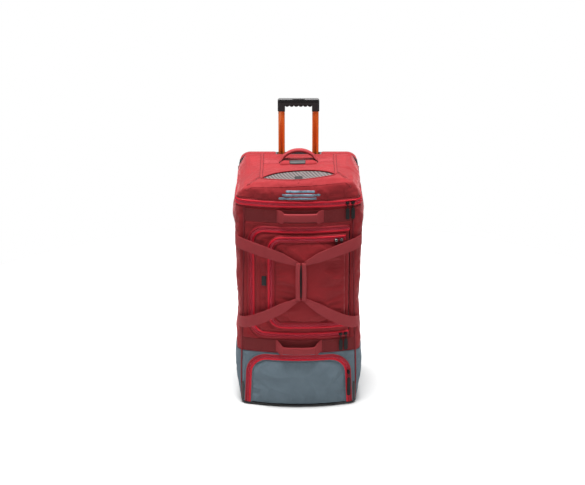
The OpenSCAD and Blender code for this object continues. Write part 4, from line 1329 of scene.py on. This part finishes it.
bound = lid_surface(walked(loop(lens(0.0012, 90)), 0.004)[:-1], 0.0004)
for _ in range(2):
    bound[:, 2] = (np.roll(bound[:, 2], 1) + 2 * bound[:, 2] + np.roll(bound[:, 2], -1)) / 4
binding = tube("vent_binding", bound, 0.0019, red_cloth, closed=True)
settle(joined("vent", [vent, binding]), "lid", "mesh", "vent_mesh")
print("binding of", len(bound), "points")

# %% [markdown]
# ## Seams and flat pieces on the lid
# The lid's panels meet in seams whose allowance is folded to one side and sewn down. Each is a low ridge
# that is dropped onto the filled cloth, with a thin dark cord in the groove at either side: a painted
# shadow, as the grooves beside a seam fall into shade. Patches and the handle's flap are flat shapes that
# are laid over the cloth and rounded at their edges.


# %% Rounded plates
def plate(name, ring, low, thick, finish, step=0.006, bulge=0.0, edge=0.0015):
    """A flat shape laid over the lid, crowned by bulge, with soft edges."""
    flat, triangles, gap = cut(ring, [], step)
    base = lid_surface(flat, low)
    rise = thick * np.clip(gap / edge, 0, 1) ** 0.5 \
        + bulge * np.sin(np.clip(gap / 0.02, 0, 1) * math.pi / 2)
    top = base + np.stack([0 * rise, 0 * rise, rise], -1)
    count = len(flat)
    rim_of = walked(loop(np.asarray(ring, float)), step)[:-1]
    start = count - len(rim_of)
    points = np.concatenate([top, base[start:] - [0, 0, 0.002]])
    n = len(rim_of)
    faces = list(triangles) + [(count + k, count + (k + 1) % n, start + (k + 1) % n, start + k)
                               for k in range(n)]
    faces.append(tuple(range(count + n - 1, count - 1, -1)))
    return make(name, points, faces, finish, uv=np.concatenate([flat, flat[start:]]))


def rounded_ring(x0, x1, y0, y1, r):
    """A rectangle's outline with corners of radius r."""
    corners = (((x1 - r, y0 + r), 270), ((x1 - r, y1 - r), 0), ((x0 + r, y1 - r), 90),
               ((x0 + r, y0 + r), 180))
    return np.concatenate([arc_points(c, r, a, a + 90, 6) for c, a in corners])


print("plates ready")


# %% Lid seams
def lid_seam(name, line, width, thick):
    """A seam allowance folded to one side and sewn down: a low flat ridge that follows the cloth."""
    line = walked(line, 0.005)
    across = np.gradient(line, axis=0)
    across = unit(np.stack([across[:, 1], -across[:, 0]], -1))
    a, b = (lid_surface(line + k * across * width / 2) for k in (-1, 1))
    middle, over = (a + b) / 2, unit(b - a)
    for _ in range(2):
        middle[1:-1, 2] = (middle[:-2, 2] + 2 * middle[1:-1, 2] + middle[2:, 2]) / 4
    out = unit(np.cross(over, unit(np.gradient(middle, axis=0))))
    out *= np.sign(out[:, 2:3])
    count = len(middle)
    return ribbon(name, middle, over, out, np.full(count, width), np.full(count, thick), red_cloth, 0.5)


edge_s = np.linspace(-0.176, 0.176, 90)
edge_line = wall(edge_s, 0.75, -0.0045)[0][:, :2]
seams = [lid_seam("seam", line, 0.0075, 0.0030) for line in SEAMS[:2]]
seams += [lid_seam("seam", line, 0.0050, 0.0026) for line in SEAMS[2:]]
# Thin dark cords in the grooves beside the seams: a painted shadow, as the grooves fall into shade.
for line in SEAMS[:4]:
    for k in (-0.0044, 0.0044):
        groove = lid_surface(offset(walked(line, 0.005), k), 0.0001)
        seams.append(tube("shade", groove, 0.0011, painted_seam_shadow))
seams.append(tube("seam", lid_surface(walked(edge_line, 0.005), -0.0002), 0.0014, red_cloth))
settle(joined("lid_seams", seams), "lid", "red_fabric")
print("lid seams:", len(seams))

# %% [markdown]
# ## The lid's handle
# The handle is a strap rolled round a cord, which rises in an arch over a padded flap and is sewn down
# between two webbing patches. Its section turns from flat at the ends to round in the middle.

# %% Lid handle
HANDLE_Y, ARCH_TOP = 0.094, 0.8275
bands_on_lid = [plate("patch", rounded_ring(*sorted((k * 0.060, k * 0.121)), HANDLE_Y - 0.020,
                                            HANDLE_Y + 0.020, 0.002), 0.0003, 0.0018, strap_webbing)
                for k in (-1, 1)]
flap = plate("flap", rounded_ring(-0.064, 0.064, HANDLE_Y - 0.034, HANDLE_Y + 0.036, 0.012),
             0.0010, 0.0035, red_cloth, 0.005, 0.0045, 0.004)
t = np.linspace(-1, 1, 61)
base_z = lid_surface(np.array([[0.0, HANDLE_Y]]))[0, 2]
arch_z = base_z + 0.004 + (ARCH_TOP - base_z) * (1 - np.abs(t) ** 2.3)
middle = np.stack([0.066 * t, np.full(61, HANDLE_Y), arch_z + 0.002 * t], -1)
tangent = unit(np.gradient(middle, axis=0))
across = np.broadcast_to([0.0, 1.0, 0.0], middle.shape)
over = unit(np.cross(tangent, across))
over *= np.sign(over[:, 2:3])
roll = np.clip((0.86 - np.abs(t)) / 0.10, 0, 1)
handle = ribbon("roll", middle, across, over, 0.036 - 0.013 * roll, 0.003 + 0.0075 * roll,
                strap_webbing, 0.6)
webbing = joined("lid_handle_webbing", [*bands_on_lid, flap, handle])
settle(webbing, "lid", "red_webbing", "lid_handle")
print("the handle's arch is %.0f mm high" % ((ARCH_TOP - base_z) * 1000))


# %% Handle tag
def dropped(piece, flat, above, reach, missed=None):
    """The height at which each flat place lands on a piece, coming from above."""
    tree = BVHTree.FromObject(piece, bpy.context.evaluated_depsgraph_get())
    hits = [tree.ray_cast(Vector((x, y, above)), Vector((0, 0, -1)), reach)[0] for x, y in flat]
    return np.array([missed if hit is None else hit.z for hit in hits])


ring = rounded_ring(-0.031, 0.024, HANDLE_Y - 0.033, HANDLE_Y - 0.009, 0.003)
flat, triangles, gap = cut(ring, [], 0.003)
z = dropped(webbing, flat, 0.815, 0.04, base_z) + 0.0002 + 0.0012 * np.clip(gap / 0.001, 0, 1) ** 0.5
tag = make("handle_tag", np.stack([flat[:, 0], flat[:, 1], z], -1), triangles, tag_finish, uv=flat)
settle(thickened(tag, 0.0022), "lid", "rubber")
print("handle tag made")

# %% [markdown]
# ## Piping
# A cord wrapped in cloth is sewn into the upright seams between the front and the sides, into the
# door's hinge line, and round the top of the slate part. It is a small round section carried along.


# %% Piping
def cord_on_wall(line, radius):
    return strip("cord", walked(line, 0.005), round_section(radius, 0.0012), piping_cloth)


S_SPLIT = seam_s(Z_SPLIT)
z = np.linspace(0.020, 0.7150, 90)
lines = [cord_on_wall(np.stack([way * (seam_s(z) + 0.0008), z], -1), 0.0022) for way in (1, -1)]
lines.append(cord_on_wall([[s_at(0.1765), 0.2535], [s_at(0.1765), 0.6510]], 0.0013))
lines.append(cord_on_wall([[-S_SPLIT, Z_SPLIT + 0.001], [S_SPLIT, Z_SPLIT + 0.001]], 0.0012))
for way in (1, -1):
    lines.append(cord_on_wall([[way * S_BACK_SEAM, 0.107], [way * S_BACK_SEAM, 0.752]], 0.0020))
    lines.append(cord_on_wall([[way * S_SPLIT, Z_SPLIT], [way * S_BACK_SEAM, Z_SPLIT]], 0.0010))
settle(joined("piping", lines), "bag", "red_fabric")
print("piping runs:", len(lines))

# %% [markdown]
# ## Print, label and patch
# The lid carries a plain print of three bars, the door a small plain woven label, and the vent a plain
# patch. Each is a thin sheet cut in (s, z) or in plan and laid on the cloth, so it follows every crease.

# %% Print and label
print_finish = Finish("print_ink", rough=0.55)
mottle = print_finish.grain(print_finish.place(), 300, 4)
print_finish.colour(print_finish.between(mottle, (0.3, rgb(84, 106, 122)), (0.7, rgb(104, 128, 144))))
print_finish.relief(mottle, 0.00008, 0.6)
label_finish = plastic("label_weave", rgb(26, 25, 27), 0.7, relief=0.00006, wear=1.3)


def patch_on(name, ring, cloths, lift, thick, finish, step=0.003, d=0.0):
    """A thin flat shape given in (s, z), laid on the named cloths."""
    flat, triangles, gap = cut(ring, [], step)
    points, out = wall(flat[:, 0], flat[:, 1], d)
    points = hug(cloths, points, out, lift) if cloths else points
    patch = make(name, points + out * thick, triangles, finish, uv=flat)
    return thickened(patch, thick + 0.0006)


BARS = (-0.066, 0.060, 0.7455), (-0.054, 0.072, 0.7575), (-0.042, 0.054, 0.7695)
bars = [patch_on("bar", rounded_ring(s0, s1, z, z + 0.0075, 0.0035), ["lid_cloth"], 0.0001, 0.0003,
                 print_finish.material) for s0, s1, z in BARS]
settle(joined("lid_print", bars), "lid", "grey_fabric")
label = patch_on("door_label", rounded_ring(-0.1235, -0.1075, 0.440, 0.474, 0.001), ["main_door_cloth"],
                 0.0003, 0.0007, label_finish)
settle(label, "main_door", "grey_fabric")
flat, triangles, _ = cut(rounded_ring(-0.0125, 0.0125, VENT_Y - 0.030, VENT_Y + 0.010, 0.002), [], 0.003)
points = np.stack([flat[:, 0], flat[:, 1], dropped(vent, flat, 0.85, 0.12) + 0.0012], -1)
vent_patch = make("vent_patch", points, triangles, label_finish, uv=flat)
settle(thickened(vent_patch, 0.0014), "lid", "mesh")
print("print, label and patch made")

# %% [markdown]
# ## Cloth over the frame's top
# The hard frame behind the lid is covered with the case's cloth at both sides of the trolley handle, so
# that only a thin dark line of it shows between the cover and the lid.

# %% Frame covers
covers = []
COVER = [[0.0775, 0.1670], [0.1990, 0.1670], [0.2030, 0.1760], [0.2025, 0.1900], [0.1990, 0.1955],
         [0.0775, 0.1955]]
for way in (1, -1):
    flat, triangles, gap = cut(on_side(COVER, way), [], 0.004)
    over = np.clip(np.abs(flat[:, 0]) - 0.165, 0, 0.0390)
    z = 0.7535 + np.sqrt(0.0402 ** 2 - over ** 2) + 0.0038 * np.sqrt(np.clip(gap / 0.006, 0, 1))
    cover = make("cover", np.stack([flat[:, 0], flat[:, 1], z], -1), triangles, red_cloth, uv=flat)
    covers.append(thickened(cover, 0.003))
settle(joined("frame_covers", covers), "bag", "red_fabric")
print("frame covers:", len(covers))

# %% [markdown]
# ## Stitches
# Every panel's edge is topstitched about three millimetres from its seam. The lines are laid out in
# (s, z), dropped onto the filled cloth and beaded with short rounded stitches. Each body has its own.

# %% Stitch lines
STITCH = 0.0036, (0.0027, 0.0008, 0.0007)
FROM_ZIP = 0.0152
red_rows, slate_rows = {"bag": [], "lid": [], "main_door": []}, {"bag": [], "base_door": []}


def sewn_on(cloths, line, d=None):
    """A stitch line dropped onto the named cloths, or laid d out from the wall."""
    line = walked(line, 0.006)
    points, out = wall(line[:, 0], line[:, 1], 0.0 if d is None else d)
    return (hug(cloths, points, out, 0.0002) if d is None else points), out


def beside(way, gap, z):
    """An upright line at a gap outside the front corner's seam."""
    return np.stack([way * (seam_s(z) + gap), z], -1)


front, sides = ["front_frame_cloth"], ["right_side_cloth", "left_side_cloth"]
slate_front, slate_sides = ["slate_front_cloth"], ["right_slate_cloth", "left_slate_cloth"]
for way in (1, -1):
    z, s_rear = np.linspace(0.205, 0.712, 80), way * (S_BACK_SEAM - 0.005)
    red_rows["bag"].append(sewn_on(front, beside(way, -0.0042, z)))
    red_rows["bag"].append(sewn_on(sides, beside(way, 0.0060, z)))
    red_rows["bag"].append(sewn_on(sides, [[s_rear, 0.205], [s_rear, 0.712]]))
    z = np.linspace(0.016, 0.195, 40)
    slate_rows["bag"].append(sewn_on(slate_front, beside(way, -0.0042, z)))
    slate_rows["bag"].append(sewn_on(slate_sides, beside(way, 0.006, z)))
    for k, cloths, rows in ((0.0045, sides, red_rows), (-0.0045, slate_sides, slate_rows)):
        rows["bag"].append(sewn_on(cloths, [[way * (S_SPLIT + 0.01), Z_SPLIT + k],
                                            [way * (S_BACK_SEAM - 0.006), Z_SPLIT + k]]))
red_rows["bag"].append(sewn_on(front, book_door(MAIN_Z, MAIN_X, MAIN_R, -FROM_ZIP)))
red_rows["main_door"].append(sewn_on(["main_door_cloth"], book_door(MAIN_Z, MAIN_X, MAIN_R, FROM_ZIP)))
red_rows["main_door"].append(sewn_on(["pocket_cloth"],
                                     book_door(POCKET_Z, POCKET_X, POCKET_R, FROM_ZIP)))
slate_rows["bag"].append(sewn_on(slate_front, base_door(-0.0150)))
slate_rows["base_door"].append(sewn_on(["base_door_cloth"], base_door(0.0155)))
lid_s = np.linspace(-lid_back_s + 0.01, lid_back_s - 0.01, 300)
red_rows["lid"].append(sewn_on(["lid_cloth"], np.stack([lid_s, LID_ZIP_Z + FROM_ZIP + 0 * lid_s], -1)))
red_rows["bag"].append(sewn_on(front + sides, np.stack([lid_s, LID_ZIP_Z - FROM_ZIP + 0 * lid_s], -1)))
for z in BAND_Z:
    end = seam_s(z) - 0.004
    for k in (-0.0197, 0.0197):
        red_rows["bag"].append(sewn_on([], [[-end, z + k], [end, z + k]], WEB_T + 0.0003))
print("edge rows:", sum(map(len, red_rows.values())) + sum(map(len, slate_rows.values())))


# %% Crossed boxes
def crossed_box(a, b, z0, z1, d):
    """The square with a cross in it that fixes webbing down."""
    return [sewn_on([], line, d) for line in (
        [[a, z0], [b, z0]], [[a, z1], [b, z1]], [[a, z0], [a, z1]], [[b, z0], [b, z1]],
        [[a, z0], [b, z1]], [[a, z1], [b, z0]])]


BOX = 0.0165, 0.017
for z, centre in zip(BAND_Z, GRAB_X):
    for way in (1, -1):
        ends = s_at(np.sort([centre + way * 0.083, centre + way * 0.115]))
        red_rows["bag"] += crossed_box(*ends, z - BOX[0], z + BOX[0], WEB_T + 0.0003)
for way in (1, -1):
    for z in STRAP_Z:
        for s0, s1 in ((ROOT_S[1] + 0.012, ROOT_S[1] + 0.05), (ROOT_S[0] - 0.045, ROOT_S[0] - 0.006)):
            red_rows["bag"] += crossed_box(way * s0, way * s1, z - BOX[1], z + BOX[1], WEB_T + 0.0014)


print("rows with the boxes:", len(red_rows["bag"]))


# %% Stitches on the lid
def sewn_on_lid(line, lift=0.0002):
    """A stitch line dropped onto the lid from above."""
    points = lid_surface(walked(line, 0.005), lift)
    return points, np.array([0.0, 0.0, 1.0])


for seam in SEAMS[:4]:
    for k in (-0.0038, 0.0038):
        red_rows["lid"].append(sewn_on_lid(offset(walked(seam, 0.004), k)))
for grow in (0.0060, 0.0095):
    red_rows["lid"].append(sewn_on_lid(loop(lens(grow, 60))))
for side in (-1, 1):
    x0, x1 = sorted((side * 0.072, side * 0.117))
    ring = loop(rounded_ring(x0, x1, HANDLE_Y - 0.016, HANDLE_Y + 0.016, 0.001))
    red_rows["lid"].append(sewn_on_lid(ring, 0.0024))
print("rows on the lid:", len(red_rows["lid"]))

# %% Sewing
for body, rows in red_rows.items():
    settle(beads("stitches_%s" % body, rows, red_thread, *STITCH), body, "red_webbing")
for body, rows in slate_rows.items():
    settle(beads("slate_stitches_%s" % body, rows, slate_thread, *STITCH), body, "slate_fabric")
print("stitch rows:", sum(map(len, red_rows.values())) + sum(map(len, slate_rows.values())))

# %% [markdown]
# ## Moulded parts
# The moulded parts already have their true shape in the frame, but its edges are knife sharp. A copy is
# merged into one skin, its corners are rounded with a small bevel, and it gets its finish. The frame's
# own mesh is left as it is.


# %% Softened copies
def softened(name, node, finish, width, body, slot, segments=2, move=None, merge=True):
    """A copy of a frame part in one skin, its edges rounded by width, in its place on its body."""
    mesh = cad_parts[node].data.copy()
    mesh.transform(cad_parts[node].matrix_world)
    obj = bpy.data.objects.new(name, mesh)
    obj.data.name = name
    bpy.context.collection.objects.link(obj)
    mesh.materials.clear()
    mesh.materials.append(finish)
    weld = obj.modifiers.new("weld", "WELD")
    weld.merge_threshold = 1e-5
    if merge:
        flat = obj.modifiers.new("flat", "DECIMATE")
        flat.decimate_type, flat.angle_limit = "DISSOLVE", math.radians(0.6)
    if width:
        bevel = obj.modifiers.new("edge", "BEVEL")
        bevel.width, bevel.segments, bevel.limit_method = width, segments, "ANGLE"
        bevel.angle_limit, bevel.use_clamp_overlap = math.radians(32), True
        bevel.harden_normals = True
    even = obj.modifiers.new("shading", "WEIGHTED_NORMAL")
    even.keep_sharp = True
    mesh.polygons.foreach_set("use_smooth", [True] * len(mesh.polygons))
    applied(obj)
    obj.data.polygons.foreach_set("use_smooth", [True] * len(obj.data.polygons))
    obj.data.set_sharp_from_angle(angle=math.radians(40))
    if move is not None:
        co = np.array([tuple(v.co) for v in obj.data.vertices])
        obj.data.vertices.foreach_set("co", move(co).ravel())
        obj.data.update()
    return settle(obj, body, slot, node)


def tucked(co):
    """The wheel housings draw in towards the floor, as the cloth over them does."""
    outer = np.abs(co[:, 0]) > 0.1955
    co[outer, 0] -= np.sign(co[outer, 0]) * 0.0085 * np.clip(1 - co[outer, 2] / 0.095, 0, 1)
    return co


print("wheel housings tucked in by up to 8.5 mm at the floor")

# %% Moulded and metal parts
softened("grip_top", "grip_cover", black_gloss, 0.0016, "trolley", "black_gloss", segments=3)
softened("grip", "grip_body", black_moulding, 0.0012, "trolley", "black_moulding")
softened("trolley_tubes", "sliding_tubes", orange_tube, 0, "trolley", "orange_aluminium", merge=False)
softened("button", "release_button", black_gloss, 0.0008, "release_button", "black_gloss")
softened("feet", "base_feet", black_rubber, 0.0015, "bag", "rubber")
softened("housings", "wheel_housings", black_moulding, 0.0022, "bag", "black_moulding", move=tucked)
softened("rails", "skid_rails", black_moulding, 0.0025, "bag", "black_moulding", segments=3)
softened("frame_top", "top_frame", frame_grey, 0.0018, "bag", "black_moulding")
softened("left_hub", "left_wheel_hub", black_moulding, 0.0008, "left_wheel", "black_moulding")
softened("right_hub", "right_wheel_hub", black_moulding, 0.0008, "right_wheel", "black_moulding")
softened("bracket", "trolley_bracket", black_moulding, 0.0012, "bag", "black_moulding")
for name, node, body in (("lid_slider_body", "lid_slider", "lid_slider"),
                         ("lid_slider_end", "lid_end_slider", "lid"),
                         ("main_slider_body", "main_slider", "main_slider"),
                         ("pocket_slider_body", "pocket_slider", "pocket_slider"),
                         ("door_slider_ends", "door_end_sliders", "main_door"),
                         ("base_slider_body", "base_slider", "base_slider"),
                         ("base_slider_end", "base_end_slider", "base_door")):
    softened(name, node, black_metal, 0.0007, body, "black_metal")
KEPT = {"trolley_sleeves": plain_tube, "tube_guides": black_moulding}
for name in ("case_screws", "wheel_axles", "wheel_bearings", "trolley_sleeves", "tube_guides",
             "button_springs", "lock_pins"):
    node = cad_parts[name]
    node.data.materials.clear()
    node.data.materials.append(KEPT.get(name, bright_steel))
print("moulded and metal parts finished")

# %% [markdown]
# ## Zip pulls
# Each pull is a wire ring, a doubled cord and a moulded rubber tab with a ribbed grip. They hang where
# the frame has them, each at a place and length given below.

# %% Pulls
def pull(name, node, body, x, z, d, length, rise=0.0):
    """A pull that hangs from (x, z) on the bowed front, d out from it."""
    a = math.asin(x / (BOW_R + d))
    side, out = np.array([math.cos(a), math.sin(a), 0]), np.array([math.sin(a), -math.cos(a), 0])
    root = np.array([x, BOW_Y - math.sqrt((BOW_R + d) ** 2 - x * x), z]) + out * (0.0067 + rise)
    up = np.array([0, 0, 1.0])
    at = lambda p: root + side * p[:, 0:1] + out * p[:, 1:2] + up * p[:, 2:3]
    t = np.linspace(0, 2 * math.pi, 28, endpoint=False)
    ring = tube("ring", at(np.stack([0.0036 * np.sin(t), 0 * t, 0.0036 * np.cos(t)], -1)), 0.0009,
                bright_steel if d else black_metal, 8, True, up=tuple(out))
    bow = np.linspace(0, math.pi, 15)
    bend = np.stack([-0.0017 * np.cos(bow), 0 * bow, -0.0028 + 0.0009 * np.sin(bow)], -1)
    path = np.concatenate([[[-0.0017, 0, -0.021]], bend, [[0.0017, 0, -0.021]]])
    string = tube("string", at(walked(path, 0.0012)), 0.0009, black_rubber, 8, up=tuple(out))
    h, w = length - 0.018, 0.0063
    v = np.linspace(0, 1, 40)
    low_end = np.sqrt(np.clip(1 - ((v - 0.9) / 0.1).clip(0, 1) ** 2, 0.02, 1))
    top_end = np.sqrt(np.clip(1 - ((0.06 - v) / 0.06).clip(0, 1) ** 2, 0.05, 1))
    half = w * (0.72 + 0.28 * np.clip(v * 4, 0, 1)) * low_end * top_end
    rib = 0.00035 * (np.sin(v * 46) > 0) * ((v > 0.3) & (v < 0.82))
    middle = at(np.stack([0 * v, 0 * v, -0.0185 - h * v], -1))
    tab = ribbon("tab", middle, np.broadcast_to(side, middle.shape), np.broadcast_to(out, middle.shape),
                 2 * half, 0.0029 + 2 * rib, black_rubber, 0.3)
    settle(joined(name, [ring, string, tab]), body, "rubber", node)


def base_leg(z):
    return BASE_W / 2 * (1 + BASE_FLARE * (BASE_TOP - z) / (BASE_TOP - BASE_LOW))


print("the base zip's leg is %.3f m out at the floor" % base_leg(BASE_LOW))

# %% Hanging the pulls
pull("lid_tab", "lid_pull", "lid_pull", 0.160, LID_ZIP_Z, 0, 0.056)
pull("lid_end_tab", "lid_end_pull", "lid_end_pull", 0.178, LID_ZIP_Z, 0, 0.056)
pull("main_tab", "main_pull", "main_pull", 0.141, MAIN_Z[0], 0, 0.058)
pull("main_end_tab", "main_end_pull", "main_end_pull", 0.158, MAIN_Z[0], 0, 0.058)
pull("pocket_tab", "pocket_pull", "pocket_pull", 0.124, POCKET_Z[1] - 0.004, POCKET_D, 0.052)
pull("pocket_end_tab", "pocket_end_pull", "pocket_end_pull", 0.141, POCKET_Z[1] - 0.004, POCKET_D, 0.052)
pull("base_tab", "base_pull", "base_pull", base_leg(0.091), 0.091, 0, 0.056)
pull("base_end_tab", "base_end_pull", "base_end_pull", base_leg(0.122), 0.122, 0, 0.062, 0.0055)
print("eight pulls hung")

# %% [markdown]
# ## Wheels
# The tyres are soft rubber with a shallow tread, turned as one skin: a section is spun round the axle and
# its outer points drop into grooves at an even pitch.


# %% Tyres
AXLE_Y, AXLE_Z, WHEEL_X = 0.157, 0.045, 0.178


def tyre(name, node, body, x):
    section = np.array([(35, -12), (40, -14), (42.6, -12.8), (44, -10.6), (44.8, -8), (45, -4), (45, 0),
                        (45, 4), (44.8, 8), (44, 10.6), (42.6, 12.8), (40, 14), (35, 12),
                        (35.05, 0)]) / 1000
    steps, count = 160, len(section)
    t = np.linspace(0, 2 * math.pi, steps, endpoint=False)
    shoulder = (np.abs(np.abs(section[:, 1]) - 0.0075) < 0.0045) & (section[:, 0] > 0.0435)
    groove = (np.arange(steps) % 5 == 0)[:, None] & shoulder[None, :]
    r = section[None, :, 0] - 0.0011 * groove
    points = np.stack([x + np.broadcast_to(section[:, 1], r.shape), AXLE_Y + r * np.sin(t)[:, None],
                       AXLE_Z + r * np.cos(t)[:, None]], -1).reshape(-1, 3)
    faces = [(a * count + k, a * count + (k + 1) % count, ((a + 1) % steps) * count + (k + 1) % count,
              ((a + 1) % steps) * count + k) for a in range(steps) for k in range(count)]
    settle(make(name, points, outwards(points, faces), tyre_rubber), body, "tyre", node)


tyre("left_tread", "left_tyre", "left_wheel", -WHEEL_X)
tyre("right_tread", "right_tyre", "right_wheel", WHEEL_X)
print("tyres turned")

# %% [markdown]
# ## Tray
# The base tray is a shallow moulded pan that the slate cloth is tacked to, with guards up the two front
# corners. Its rim is six rows of points round the case, each a little further out or in than the last.

# %% Tray
PAN_X = HOUSING_X + 0.0005


def tray_row(z, d):
    """One row of the pan: round the front on the wall, then in behind the wheels to the back."""
    front = wall(np.linspace(-S_HOUSING, S_HOUSING, 221), z, d)[0]
    back = np.array([[PAN_X, HOUSING_Y, z], [PAN_X, BACK_Y + d, z],
                     [-PAN_X, BACK_Y + d, z], [-PAN_X, HOUSING_Y, z]])
    return np.concatenate([front, back])


rows = [(0.0035, -0.003), (0.0040, -0.0005), (0.0050, 0.0010), (0.0072, 0.0012), (0.0082, 0.0004),
        (0.0084, -0.0015)]
points = np.concatenate([tray_row(z, d) for z, d in rows])
pan_faces = outwards(points, closed_sweep(len(rows), len(points) // len(rows)))
pan = make("pan", points, pan_faces, black_moulding)
GUARD = [[s_at(x) + more, z] for x, more, z in (
    (0.1865, 0.0015, 0.012), (0.1865, 0.0135, 0.012), (0.1865, 0.0125, 0.05),
    (0.1840, 0.0085, 0.078), (0.1830, 0.003, 0.084), (0.1845, -0.0005, 0.06))]
guards = [patch_on("guard", on_side(GUARD, way), [], 0, 0.0022, black_moulding, 0.004, d=0.0006)
          for way in (1, -1)]
settle(joined("tray", [pan, *guards]), "bag", "black_moulding", "base_tray")

print("tray rows:", len(rows))

# %% [markdown]
# ## Lining
# Two padded floors part the three compartments, and a sheet of the same lining cloth hides the trolley's
# sleeves. They are cut like the outer panels, and a slow noise gives the slack that loose lining has.

# %% Lining
DIVIDER, LINING_LOW, LINING_Y = 0.0025, 0.1055, 0.168


def lining_floor(name, z):
    s = np.linspace(-S_BACK_SEAM, S_BACK_SEAM, 240)
    edge = wall(s, z, -0.006)[0][:, :2]
    flat, triangles, gap = cut(edge, [], 0.012)
    wave = noise_at(flat, 12, 12, z) * 0.002 * np.clip(gap / 0.03, 0, 1)
    points = np.stack([flat[:, 0], flat[:, 1], z + DIVIDER + wave], -1)
    return thickened(make(name, points, triangles, lining_cloth, uv=flat), DIVIDER)


half = np.array([[HOUSING_X, 0.012], [HOUSING_X, LINING_LOW], [0.200, LINING_LOW], [0.200, 0.752]])
ring = np.roll(np.concatenate([half, on_side(half, -1)]), 1, axis=0)
flat, triangles, gap = cut(ring, [], 0.014)
wave = noise_at(flat, 9, 9, 2.0) * 0.0012 * np.clip(gap / 0.04, 0, 1)
points = np.stack([flat[:, 0], LINING_Y - np.abs(wave), flat[:, 1]], -1)
sheet = thickened(make("back_lining", points, triangles, lining_cloth, uv=flat), 0.0018)
lining = joined("lining", [lining_floor("low", 0.199), lining_floor("high", 0.712), sheet])
settle(lining, "bag", "lining", "inner_lining")
print("lining made")

# %% [markdown]
# ## Floor and light
# The bag stands on a plain pale floor under one big soft light, as in a studio with a light bank over
# the table. The world is white where the camera sees it, and gives the front its weaker fill.

# %% Floor
floor_finish = Finish("floor_finish", rough=0.9, specular=0.2)
floor_finish.colour(floor_finish.between(floor_finish.grain(floor_finish.place(False), 3.0),
                                         (0.3, (0.60, 0.60, 0.60)), (0.7, (0.62, 0.62, 0.62))))
FLOOR_R, FLOOR_Z = 1.7, -0.0005
turn = np.linspace(0, 2 * math.pi, 96, endpoint=False)
disc = np.stack([FLOOR_R * np.cos(turn), FLOOR_R * np.sin(turn), np.full(96, FLOOR_Z)], -1)
floor = make("floor", disc, [tuple(range(96))], floor_finish.material, smooth=False)
print("floor %.1f m across" % (2 * FLOOR_R))


# %% Lights
def soft_light(name, place, target, size, watts):
    """An even white panel of light that faces its target."""
    lamp = bpy.data.lights.new(name, "AREA")
    lamp.shape, lamp.size, lamp.size_y, lamp.energy = "RECTANGLE", *size, watts
    obj = bpy.data.objects.new(name, lamp)
    obj.location = place
    obj.rotation_euler = (Vector(target) - Vector(place)).to_track_quat("-Z", "Y").to_euler()
    bpy.context.collection.objects.link(obj)


soft_light("light_bank", (-0.2, -0.3, 6.0), (0, 0, 0), (3.4, 3.4), 980)
soft_light("back_card", (0, 4.2, 2.6), (0, 0, 0.8), (4.0, 1.2), 24)
soft_light("left_fill", (-3.4, -2.0, 1.9), (0, 0, 0.5), (1.4, 1.8), 16)
soft_light("right_fill", (3.2, -2.4, 2.1), (0, 0, 0.5), (1.4, 1.8), 24)

print("lights:", len(bpy.data.lights))

# %% World
world = bpy.data.worlds.new("studio")
bpy.context.scene.world = world
world.use_nodes = True
shade = world.node_tree.nodes
seen = shade.new("ShaderNodeLightPath")
mix = shade.new("ShaderNodeMix")
mix.data_type = "FLOAT"
mix.inputs["A"].default_value, mix.inputs["B"].default_value = 0.16, 1.0
world.node_tree.links.new(seen.outputs["Is Camera Ray"], mix.inputs["Factor"])
world.node_tree.links.new(mix.outputs["Result"], shade["Background"].inputs["Strength"])
shade["Background"].inputs["Color"].default_value = (1, 1, 1, 1)
bpy.context.scene.view_settings.view_transform = "Standard"
print("studio ready")

# %% [markdown]
# ## Sizes
# Cloth may stand a little proud of the frame, but the bag has to stay the size that it is.
